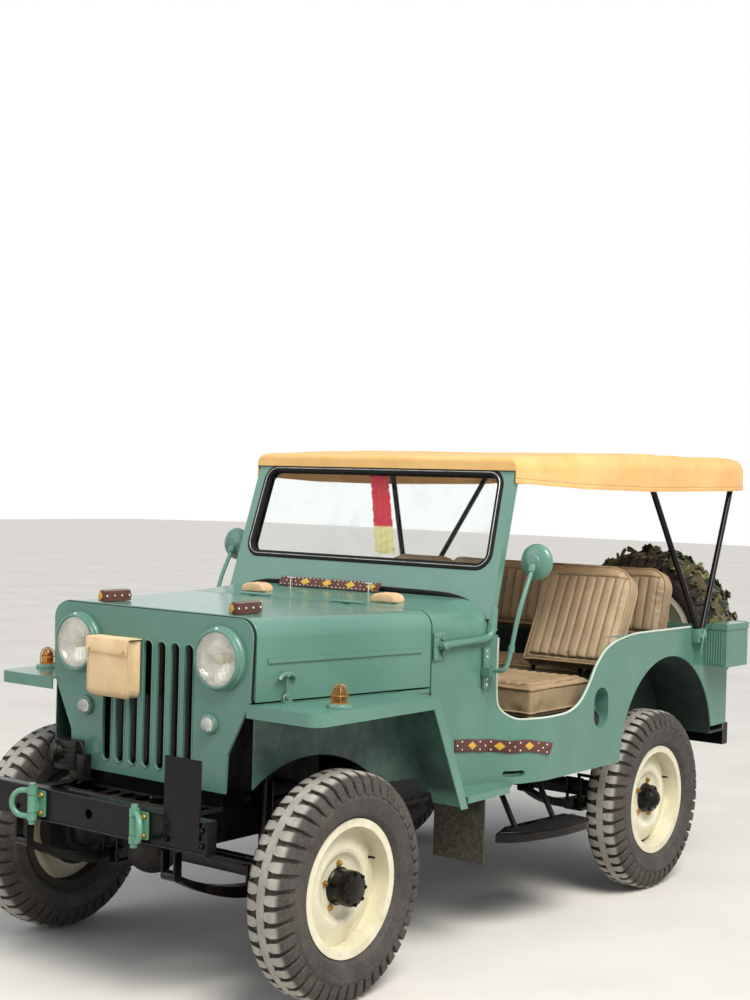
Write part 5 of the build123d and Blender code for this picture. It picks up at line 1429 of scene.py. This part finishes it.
STUD = small_turned([(2.6, 0), (2.6, 0.5), (1.9, 1.5), (0.8, 2.1)], 8)
PAD_X, PAD_Y, PAD_FOOT, BLOCK_X, BLOCK_Y = 318, 663, 1222.5, 310, -89
PAD_LEVELS = ((0, 0.9), (2, 0.98), (8, 1.0), (18, 0.99), (28, 0.94), (34, 0.84), (36.5, 0.5))
BLOCK_LEVELS = ((1215.4, 0.6), (1219, 0), (1236, 0.4), (1251, 2.0), (1256, 4.0), (1257.8, 8.0))
for side, name in SIDES:
    rows = []
    for z, grow in PAD_LEVELS:
        ring = []
        for a in circle(32):
            c, s = math.cos(a), math.sin(a)
            px, py = math.copysign(abs(c) ** 0.3, c), math.copysign(abs(s) ** 0.3, s)
            pinch = 0.93 + 0.17 * abs(px * py) ** 3
            rise = z * (1 - 0.42 * abs(px) ** 5 * grow**2) + 1.2 * math.sin(px * 5 + py * 4)
            ring.append((side * PAD_X + px * 59 * grow * pinch, PAD_Y + py * 34 * grow * pinch, PAD_FOOT + rise))
        rows.append(ring)
    piece = Workpiece().skin(rows).made("cowl_pad_" + name, "car", "canvas", PAD_HIDE, rounds=1, degrees=70)
    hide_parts("canvas_bags")
    x, rows = side * BLOCK_X, []
    for z, shrink in BLOCK_LEVELS:
        ring = []
        for a, b, cuts in ((-1, -1, (0, 3)), (1, -1, (3, 0)), (1, 1, (0, 3)), (-1, 1, (3, 0))):
            for cut_x, cut_y in (cuts, cuts[::-1]):
                ring.append((x + a * (16 - shrink - cut_x), BLOCK_Y + b * (69 - shrink - cut_y), z))
        rows.append(ring)
    piece = Workpiece().skin(rows).made("hood_block_" + name, "hood", "leather", BLOCK_HIDE, rounds=1, degrees=50)
    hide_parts("hood_blocks")
    stud_rows = [(f, y) for f in (1, -1) for y in (-52, -17, 18, 53)]
    spots = [((x + f * 16.2, BLOCK_Y + y, 1236), (f, 0, 0.05), (0, 1, 0)) for f, y in stud_rows]
    repeated("hood_block_studs_" + name, STUD, spots, "hood", WHITE_STUD, size=1.7)
    stitch_rows = [(f, y) for f in (1, -1) for y in range(-60, 61, 10)]
    spots = [((x + f * 12.8, BLOCK_Y + y, 1254.6), (f * 0.5, 0, 0.9), (0, 1, 0)) for f, y in stitch_rows]
    repeated("hood_block_stitches_" + name, STUD, spots, "hood", WHITE_STUD, size=0.8)
    spots = [((x, BLOCK_Y + end * 69.2, 1236), (0, end, 0.04), (1, 0, 0)) for end in (-1, 1)]
    repeated("hood_block_patches_" + name, diamond(13, 18), spots, "hood", YELLOW_HIDE)
print("pads and blocks ready")

# %% [markdown]
# A studded leather strap lies along the foot of the screen, and one runs from each cowl side back onto the
# tub. Each side strap is cut by hand, so its edges wave and its rear end is slanted and lifts a little.

# %% Studded straps
STRAP_FACE = BVHTree.FromObject(NODES["straps"], bpy.context.evaluated_depsgraph_get())
STRAP_SECTION = (
    (-22.5, -4.7), (-22.5, -1.2), (-21.3, 0), (-8, 0.5), (8, 0.5), (21.3, 0), (22.5, -1.2), (22.5, -4.7), (0, -4.2),
)


def on_side(side, y, up, lift=0.0):
    """A point on the side strap: y along the car, up from the strap's middle line, lift out from its face."""
    middle = 733 - 38 * (y - 682) / 427
    wave = 6 * math.exp(-(((y - 1000) / 45) ** 2)) - 4 * clamp((y - 1040) / 60)
    hit = STRAP_FACE.ray_cast(at(side * 900, min(max(y, 684), 1107), middle), Vector((-side, 0, 0)))[0]
    return Vector(((hit - ORIGIN)[0] * 1000 + side * lift, y, middle + wave + up))


for side, name in SIDES:
    rows = []
    for y in range(683, 1110, 6):
        slant, curl = clamp((y - 1040) / 60) * 12, 4 * clamp((y - 1070) / 40) ** 2
        wobble = 0.9 * math.sin(y * 0.06)
        ring = [on_side(side, y + slant * up / 22.5, up + wobble, lift + curl) for up, lift in STRAP_SECTION]
        rows.append(ring if side > 0 else ring[::-1])
    piece = Workpiece().skin(rows).made("side_strap_" + name, "car", "leather", BLOCK_HIDE, degrees=50)
    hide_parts("straps")
    patches, studs = [], []
    marks = [(patches, y, 0, 0.6) for y in (771, 889, 997)] + [(studs, y, 0, 0.5) for y in (693, 840, 936, 1064)]
    marks += [(studs, y, up, 0.2) for y in (718, 812, 863, 918, 957, 1041, 1087) for up in (14, -14)]
    for spots, y, up, lift in marks:
        way = on_side(side, y + 12, 0) - on_side(side, y - 12, 0)
        spots.append((on_side(side, y, up, lift), Vector((side * way.y, -side * way.x, 0)), way))
    repeated("side_strap_patches_" + name, diamond(24, 16), patches, "car", YELLOW_HIDE)
    repeated("side_strap_studs_" + name, STUD, studs, "car", WHITE_STUD, size=1.5)

rake = math.radians(17)
screen_up = Vector((0, math.sin(rake), math.cos(rake)))
screen_out = Vector((0, -math.cos(rake), math.sin(rake)))
SCREEN_ORIGIN = Vector((0, 886, 1245))


def on_screen(x, up, lift=16.0):
    """A point on the screen frame's front: x across, up along the slope, lift in front of the middle plane."""
    return SCREEN_ORIGIN + Vector((x, 0, 0)) + screen_up * up + screen_out * lift


strap_way = (Vector((0, 844, 1273)) - Vector((0, 822, 1240))).normalized()
strap_out = Vector((0, -strap_way.z, strap_way.y))


BAND_SECTION = ((0, 0), (0, 3.6), (20, 5.4), (40, 3.6), (40, 0), (20, 1.5))


def on_strap(x, up, lift=0.0):
    """A point on the strap at the screen's foot."""
    sway = Vector((0, 3.0 * math.sin(x * 0.012 + 1.0) * 0.4, 0))
    return Vector((x, 822, 1240.5)) + strap_way * up + strap_out * (lift + 1.2 * math.sin(x * 0.03)) + sway


band_x = [between(-345, 150, k / 48) for k in range(49)]
band = Workpiece().skin([[on_strap(x, up, lift) for up, lift in BAND_SECTION] for x in band_x])
band.made("screen_strap", "car", "leather", BLOCK_HIDE, degrees=50)
patches = [(on_strap(x, 20, 5.2), strap_out, (1, 0, 0)) for x in (-215, -105, 10, 110)]
studs = [(on_strap(x, z, 4.2), strap_out, (1, 0, 0)) for x in range(-335, 145, 20) for z in (5, 35)]
studs += [(on_strap(x, 20, 5.4), strap_out, (1, 0, 0)) for x in (-310, -265, -160, -50, 60)]
repeated("screen_strap_patches", diamond(27, 17), patches, "car", YELLOW_HIDE)
repeated("screen_strap_studs", STUD, studs, "car", WHITE_STUD, size=1.1)
posts = Workpiece()
for x in (-272, 118):
    foot = Vector((x, 806, 1236))
    posts.bar([foot, foot + Vector((0, 4, 38))], 3, 10)
    posts.bar([foot + Vector((-17, 4, 38)), foot + Vector((17, 4, 38))], 3.4, 10)
    posts.turned([(9, -3), (9, 2), (4, 4)], foot, UP, 16)
posts.made("screen_rest_posts", "car", "light_green_paint", BRIGHT)
print("straps ready")

# %% [markdown]
# A fringed cloth hangs from the screen's top rail behind the glass, red above and pale yellow below. It is a
# narrow sheet with small upright waves.

# %% Hanging cloth


def two_tone(name):
    f = Finish(name, rough=0.9)
    tuft = f.noise(120.0, 4.0, 0.7, f.stretched((1.0, 1.0, 0.5)))
    red = f.mix(tuft, srgb(196, 20, 44), srgb(232, 50, 74))
    pale = f.mix(tuft, srgb(226, 206, 128), srgb(244, 232, 176))
    edge = f.plus(f.axis(2), f.times(f.noise(30.0, 2.0), 0.01))
    f.colour(f.mix(f.ramp(edge, 1.492, 1.484), red, pale))
    f.set("Sheen Weight", 0.3)
    f.normal(f.bump(tuft, 0.004, 0.8))
    return f.material


CLOTH_FINISH = two_tone("two_tone_cloth")
rows = []
for i in range(71):
    share = i / 70
    z = between(1711, 1377, share)
    left, right = between(-80, -38, share), between(6, 56, share)
    row = []
    for k in range(23):
        u = k / 22
        ragged = {0: -1, 22: 1}.get(k, 0) * (2.2 * math.sin(share * 95) + 1.6 * math.sin(share * 41 + 1))
        y = 1049 + 1.5 * math.sin(u * 19 + share * 4) + 0.9 * math.sin(share * 60 + u * 7)
        row.append((between(left, right, u) + ragged, y, z + (4 * math.sin(u * 25) if i == 70 else 0)))
    rows.append(row)
cloth_piece, fringe_area = sheet_piece("hanging_fringe", rows, "car", CLOTH_FINISH, 0.002, 70)
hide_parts("hanging_cloth")
print("hanging cloth area", round(fringe_area, 4))
# %% [markdown]
# The screen glass sits in a broad black rubber with a thin bright line, and a second rubber closes the arch
# between the cowl and the screen. Both are long bars that follow an outline.

# %% Screen rubbers
GLASS_FOOT, GLASS_HEAD, GLASS_FOOT_HALF, GLASS_HEAD_HALF, GLASS_CORNER = 110, 478, 590, 578, 55


def glass_line(inset, lift, steps=10):
    """The opening's outline on the screen, drawn inward by an inset."""
    corner, line = GLASS_CORNER - inset, []
    foot, head = GLASS_FOOT_HALF - inset, GLASS_HEAD_HALF - inset
    low, high = GLASS_FOOT + inset, GLASS_HEAD - inset
    for x, up, first in ((head, high, 0), (-head, high, 90), (-foot, low, 180), (foot, low, 270)):
        cx, cy = x - math.copysign(corner, x), up - math.copysign(corner, up - 250)
        for i in range(steps + 1):
            a = math.radians(first + 90 * i / steps)
            line.append(on_screen(cx + corner * math.cos(a), cy + corner * math.sin(a), lift))
    return line


BRIGHT_LINE = steel("bright_line", srgb(176, 176, 170), 0.3)
RUBBER_SECTION = (
    (-12, 16.2), (-11, 19), (-4, 22), (8, 22), (15, 18), (17, 8), (17, 3.6), (0.4, 3.6), (0.4, 16.2),
)
rubber_ring = Workpiece()
for front in (1, -1):
    rubber_ring.skin([glass_line(i, front * z) for i, z in RUBBER_SECTION], joined=True)
rubber_ring.made("screen_rubber", "car", "black_rubber", RUBBER, degrees=45)
bead = Workpiece().skin([glass_line(i, z) for i, z in ((0, 21.8), (1, 23.2), (3, 23.2), (4, 21.8))], joined=True)
bead.made("screen_rubber_bead", "car", "black_paint", BRIGHT_LINE, degrees=60)

half_arch = [(606, 1140), (590, 1180), (545, 1222), (470, 1243), (380, 1249), (150, 1251)]
arch_points = [(-x, z) for x, z in half_arch] + [(0, 1251)] + half_arch[::-1]
arch = flowing([(x, SCREEN_ORIGIN.y + (z - 1245) * math.tan(rake) - 19, z) for x, z in arch_points], 6)
Workpiece().bar(arch, 12, 12, wide=0.7).made("cowl_seal", "car", "black_rubber", RUBBER, degrees=60)
print("rubbers ready")

# %% [markdown]
# Each screen arm is a flattened bar that runs back from a hinge plate on the cowl and sweeps up into the
# frame. It covers the plain tube of the CAD.

# %% Screen arms and hinges
ARM_PATH = (
    (621, 578, 1093), (626, 640, 1096), (634, 720, 1100), (643, 790, 1103), (651, 832, 1112), (655, 850, 1132),
    (653, 860, 1162), (650, 866, 1190), (648, 872, 1215),
)


def side_slab(work, side, low, high):
    """A block on one side of the car, from its corners on the left side."""
    xs = sorted((side * low[0], side * high[0]))
    return work.slab((xs[0], *low[1:]), (xs[1], *high[1:]))


for side, name in SIDES:
    arm = Workpiece().bar(flowing([(side * x, y, z) for x, y, z in ARM_PATH], 5), 13.5, 14, wide=0.95)
    side_slab(arm, side, (605, 556, 1042), (611, 622, 1140))
    for z in (1118, 1068):
        arm.bar([(side * 606, 600, z), (side * 622, 600, z)], 9, 16)
    arm.turned([(15, 0), (15, 6), (12, 9), (3, 10)], (side * 634, 591, 1093), (side, 0, 0), 20)
    arm.made("screen_arm_" + name, "car", "green_paint", GREEN, bevel=0.8, degrees=50)
    spots = [((side * 611, y, z), (side, 0, 0), UP) for y in (566, 612) for z in (1052, 1130)]
    repeated("hinge_screws_" + name, ROUND_RIVET, spots, "car", GREEN, size=1.1)
print("arms ready")

# %% [markdown]
# Mirrors: a pressed green back with a rolled rim and a silvered face, on a painted stalk with a hinge foot.

# %% Mirrors
MIRROR_SHELL = (
    (3, -13), (24, -12), (26, -9), (44, -6), (57, 0), (64, 8), (66.5, 15), (66.5, 20), (63.5, 21), (63.5, 24), (3, 24),
)
MIRROR_STALK = (
    (668, 830, 998), (706, 831, 996), (727, 838, 1012), (733, 856, 1070), (738, 878, 1160), (741, 912, 1250),
    (741, 955, 1330), (741, 974, 1366),
)

for side, name in SIDES:
    head = (side * 741, 984, 1383)
    shell = Workpiece().turned(MIRROR_SHELL, head, -AHEAD, 48)
    shell.bar(flowing([(side * x, y, z) for x, y, z in MIRROR_STALK], 6), 8.6, 12)
    shell.turned([(3, -16), (12, -14), (14, 0), (12, 12), (3, 14)], (side * 741, 968, 1362), (0, 0.3, 1), 20)
    shell.turned([(3, -12), (12, -12), (12, 12), (3, 12)], (side * 733, 858, 1075), (0, 0.1, 1), 18)
    side_slab(shell, side, (640, 808, 974), (676, 850, 1004))
    shell.turned([(3, -22), (9, -22), (9, 22), (3, 22)], (side * 676, 830, 990), UP, 18)
    shell.made("mirror_" + name, "car", "green_paint", GREEN, degrees=32)
    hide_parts("mirrors")
    face = Workpiece().turned([(3, 24.1), (61, 24.1), (61, 25.5), (3, 26.5)], head, (0, 1, 0), 48)
    face.made("mirror_face_" + name, "car", "mirror_back", MIRROR)
    plate = side_slab(Workpiece(), side, (639.5, 812, 926), (651, 847, 1074))
    plate.made("post_plate_" + name, "car", "green_paint", GREEN, bevel=2)
    spots = [((side * 651, 829, z), (side, 0, 0), UP) for z in (940, 962, 1040, 1060)]
    repeated("post_screws_" + name, ROUND_RIVET, spots, "car", BRIGHT)
print("mirrors ready")
# %% [markdown]
# The hood's front edge is rolled, and a thin black strip in the joint between it and the grille is a painted
# shadow of the gap. Both follow the grille's upper outline.

# %% Hood lip and painted gap shadow
HOOD_TOP, HOOD_CORNER, HOOD_HALF_FRONT = 1215, 60, 467


def nose_line(y, grow, foot=958):
    """The hood's front outline from the left foot over the top to the right foot."""
    half, top, corner = HOOD_HALF_FRONT + grow, HOOD_TOP + grow, HOOD_CORNER + grow
    line = [Vector((half - 6, y, foot)), Vector((half - 3, y, between(foot, top - corner, 0.5)))]
    line += [Vector((p.x, y, p.z)) for p in arc((half - corner, y, top - corner), corner, 0, 90, 10)]
    return line + [Vector((-p.x, p.y, p.z)) for p in line[::-1]]


# Painted shadow: a black strip where the hood's edge overlaps the grille.
Workpiece().bar(nose_line(-215.5, -1.5), 4.2, 8).made("hood_seam", "car", "black_rubber", RUBBER, degrees=60)
Workpiece().bar(nose_line(-203.6, 0.2), 4.6, 10).made("hood_lip", "hood", "green_paint", GREEN, degrees=60)

# %% [markdown]
# A spring catch holds each side of the hood: a cross handle with drooping ends on a thin rod, with a bright
# hook at its foot.

# %% Hood catches
for side, name in SIDES:
    x = side * 504.7
    handle = [(x, y, z) for y, z in ((-137, 1021), (-124, 1033), (-98, 1039), (-72, 1033), (-59, 1021))]
    catch = Workpiece().bar(flowing(handle, 5), 7.4, 12)
    catch.turned([(3, -6), (11, -6), (12, 0), (9, 8), (4, 11)], (x, -98, 1036), UP, 20)
    catch.bar([(x, -98, 962), (x, -98, 1034)], 4, 12)
    catch.turned([(3, 0), (10, 0), (10, 9), (6, 12), (6, 22), (3, 23)], (x, -98, 962), UP, 20)
    catch.slab((x - 8, -118, 946.3), (x + 8, -78, 953))
    catch.bar(flowing([(x, -112, 952), (x, -112, 968), (x, -98, 974), (x, -84, 968), (x, -84, 952)], 5), 2.4, 8, kind=1)
    piece = catch.made("hood_catch_" + name, "car", "green_paint", GREEN, BRIGHT, degrees=35)
    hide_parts("hood_latches")

# %% [markdown]
# A pale trim strip is pressed over the door opening's edge. It runs down the front post, along the sill, up
# the long S and back along the rail.

# %% Door trim
FLARE = ((640, 850), (668, 890), (703, 935), (728, 1000), (743, 1060), (749, 1120))
DOOR_LINE = (
    (881, 1108), (880, 1010), (880, 920), (890, 852), (940, 813), (1021, 808), (1150, 808), (1245, 814), (1323, 843),
    (1385, 900), (1440, 972), (1503, 1025), (1576, 1054), (1665, 1070), (1765, 1079), (2000, 1079.5), (2225, 1079.5),
)


def flare_x(y):
    """Half width of the tub's outer face."""
    for (x0, y0), (x1, y1) in zip(FLARE, FLARE[1:]):
        if y <= y1:
            return between(x0, x1, (y - y0) / (y1 - y0))
    return FLARE[-1][0]


PALE_TRIM = woven("pale_trim", srgb(196, 206, 192), srgb(168, 184, 170), srgb(222, 226, 214))
for side, name in SIDES:
    trim = Workpiece()
    path = [Vector((side * (flare_x(p.y) - 1.5), p.y, p.z)) for p in flowing([(0, y, z) for y, z in DOOR_LINE], 6)]
    trim.bar(path, 4.6, 8)
    trim.made("door_trim_" + name, "car", "vinyl", PALE_TRIM, degrees=60)
CAP_PLACE, CAP_WAY = Vector((716, 1478, 764)), Vector((0.92, 0, 0.4))
cap = Workpiece().turned([(3, -6), (29, -6), (30, 0), (30, 9), (26, 13), (3, 14)], CAP_PLACE, CAP_WAY, 32)
for a in circle(10):
    rim = CAP_PLACE + Vector((0.4 * math.cos(a) * -30, math.sin(a) * 30, 0.92 * math.cos(a) * 30))
    cap.bar([rim + CAP_WAY * d for d in (-2, 9)], 2.4, 6)
cap.made("filler_cap", "car", "black_paint", BLACK)
print("door trim ready")

# %% [markdown]
# The foot steps are black boards with raised ribs. The ribs follow the board's curved edge.

# %% Foot step ribs
STEP_TOP, STEP_INNER = 375.5, 606
STEP_EDGE = ((622, 985, 0.1), (690, 1075, 0.8), (728, 1220, 1), (738, 1330, 1), (740, 1400, 1), (722, 1448, 0.85))

for side, name in SIDES:
    ribs = Workpiece()
    for inset in range(8, 99, 18):
        line = [(side * max(x - inset * share, STEP_INNER), y + inset * 0.3, STEP_TOP) for x, y, share in STEP_EDGE]
        ribs.bar(flowing(line, 5), 4.2, 8)
    ribs.made("foot_step_ribs_" + name, "car", "black_paint", BLACK, degrees=60)

# %% [markdown]
# Under the nose: a ribbed pan between the frame rails, and a dusty horn with a round cap on a bracket on the
# car's right.

# %% Nose pan and horn
pan = Workpiece().slab((-320.5, -428, 561), (320.5, -130, 566))
for x in range(-280, 281, 70):
    pan.bar([(x, -420, 567), (x, -140, 567)], 7, 8)
pan.slab((-320.5, -300, 566), (320.5, -286, 592))
pan.bar(flowing([(-250, -330, 588), (-100, -352, 596), (60, -340, 588), (210, -362, 596), (300, -350, 590)], 6), 11, 12)
pan.made("nose_pan", "car", "black_paint", RUSTY_BLACK, bevel=1.5)
horn = Workpiece().slab((-402, -268, 642), (-300, -214.5, 742))
horn.slab((-330, -262, 612), (-262, -225, 700))
HORN_PLACE, HORN_WAY = (-392, -262, 700), (-0.65, -0.74, 0.12)
HORN_BODY = ((3, -30), (30, -30), (34, -24), (34, 4), (38, 6), (38, 16), (30, 20), (8, 22))
horn.turned(HORN_BODY, HORN_PLACE, HORN_WAY, 32)
horn.turned([(3, 18), (24, 18), (24, 25), (18, 27), (3, 27)], HORN_PLACE, HORN_WAY, 24)
for z in (660, 676, 692, 708, 724):
    horn.bar([(-400, -270, z), (-304, -270, z)], 3, 8)
horn.slab((-345, -240, 600), (-325, -225, 645))
hose = flowing([(-310, -240, 735), (-280, -262, 748), (-255, -262, 700), (-268, -250, 620), (-300, -250, 596)], 6)
horn.bar(hose, 5, 10)
horn.made("horn", "car", "black_paint", RUSTY_BLACK, bevel=1.5)
print("nose ready")

# %% [markdown]
# Cloth scraps tied to a net hang over the spare wheel. One lobed scrap is drawn. Geometry Nodes set seeded
# copies on points round the tyre's upper half.

# %% Scrim net


def scrim_finish():
    """Dyed cloth scraps in olive, dark green and brown, split by place."""
    f = Finish("scrim_cloth", rough=0.9)
    patch = f.noise(15.0, 2.0, 0.5)
    fine = f.blots(60.0, 4.0, 0.7, 0.35, 0.7)
    tone = f.mix(f.ramp(patch, 0.46, 0.5), srgb(38, 42, 28), srgb(96, 100, 58))
    tone = f.mix(f.ramp(patch, 0.56, 0.6), tone, srgb(98, 78, 58))
    tone = f.mix(f.ramp(f.noise(23.0, 2.0), 0.6, 0.64), tone, srgb(142, 146, 104))
    f.colour(f.mix(f.times(fine, 0.4), tone, srgb(30, 32, 26)))
    f.set("Sheen Weight", 0.2)
    f.normal(f.bump(f.bands(220.0, "Z"), 0.0004, 0.4))
    return f.material


SCRIM = scrim_finish()
SCRAPS, SCRAP_THICK = 230, 1.2
rings = []
for i, half in enumerate((2, 15, 9, 21, 11, 17, 8, 13, 3)):
    y, lift = -38 + i * 9.5, 9 * math.sin(i * 0.7) + 4
    top = [(-half, y, lift - 3), (0, y, lift + 2), (half, y + 4, lift - 4)]
    rings.append(top + [(x, y, z - SCRAP_THICK) for x, y, z in top[::-1]])
scrap = Workpiece().skin(rings)
rng = random.Random(41)
spots = []
for i in range(SCRAPS):
    a = math.radians(between(-12, 192, (i + rng.random()) / SCRAPS))
    v = rng.uniform(-1, 1)
    out = Vector((math.cos(a), 0, math.sin(a)))
    lean = Vector((rng.uniform(-0.7, 0.7), v * 1.5 + rng.uniform(-0.6, 0.6), rng.uniform(-0.7, 0.7)))
    place = Vector((SPARE[0], SPARE[1] + v * 74, SPARE[2])) + out * (372 - max(0.0, abs(v) - 0.7) * 70)
    spin = rng.uniform(0, math.tau)
    heading = Vector((-math.sin(a), 0, math.cos(a))) * math.cos(spin) + Vector((0, 1, 0)) * math.sin(spin)
    spots.append((place, (out + lean).normalized(), heading))
scrim = repeated("scrim_net", scrap, spots, "car", SCRIM, size=1.25, spread=0.5, seed=5)

# %% [markdown]
# The rear: green covers and a lever on the hoops' pivots, and upright ribs on the front of each side box.

# %% Rear trim
TUB_RIVETS = ((1650, 640), (1560, 640), (2480, 1050), (2560, 700), (2560, 850), (2560, 1000))

for side, name in SIDES:
    cover = side_slab(Workpiece(), side, (749.3, 2234, 1013), (782, 2318, 1071))
    cover.bar([(side * 786, 2282, 1064), (side * 788, 2262, 1020), (side * 786, 2246, 962)], 5, 10)
    cover.turned([(3, -6), (13, -6), (13, 5), (9, 8), (3, 9)], (side * 783, 2292, 1040), (side, 0, 0), 20)
    cover.turned([(3, -6), (10, -6), (10, 5), (3, 7)], (side * 783, 2256, 1040), (side, 0, 0), 16)
    cover.made("bow_bracket_" + name, "car", "green_paint", GREEN, bevel=1.5)
    ribs = Workpiece()
    for x in range(762, 846, 12):
        ribs.bar([(side * x, 2351, 918), (side * x, 2351, 1062)], 3, 8)
    ribs.bar([(side * 752, 2350.5, 1068), (side * 852, 2350.5, 1068)], 3.4, 8)
    ribs.made("box_ribs_" + name, "car", "green_paint", GREEN, degrees=60)
    spots = [((side * flare_x(y), y, z), (side, 0, 0), UP) for y, z in TUB_RIVETS]
    repeated("tub_rivets_" + name, ROUND_RIVET, spots, "car", GREEN, size=0.9)
FLAP = rubber("mudflap_rubber", srgb(50, 50, 45), srgb(112, 102, 86), 1.0, 120.0)
painted("mudflaps", FLAP)
print("rear ready")
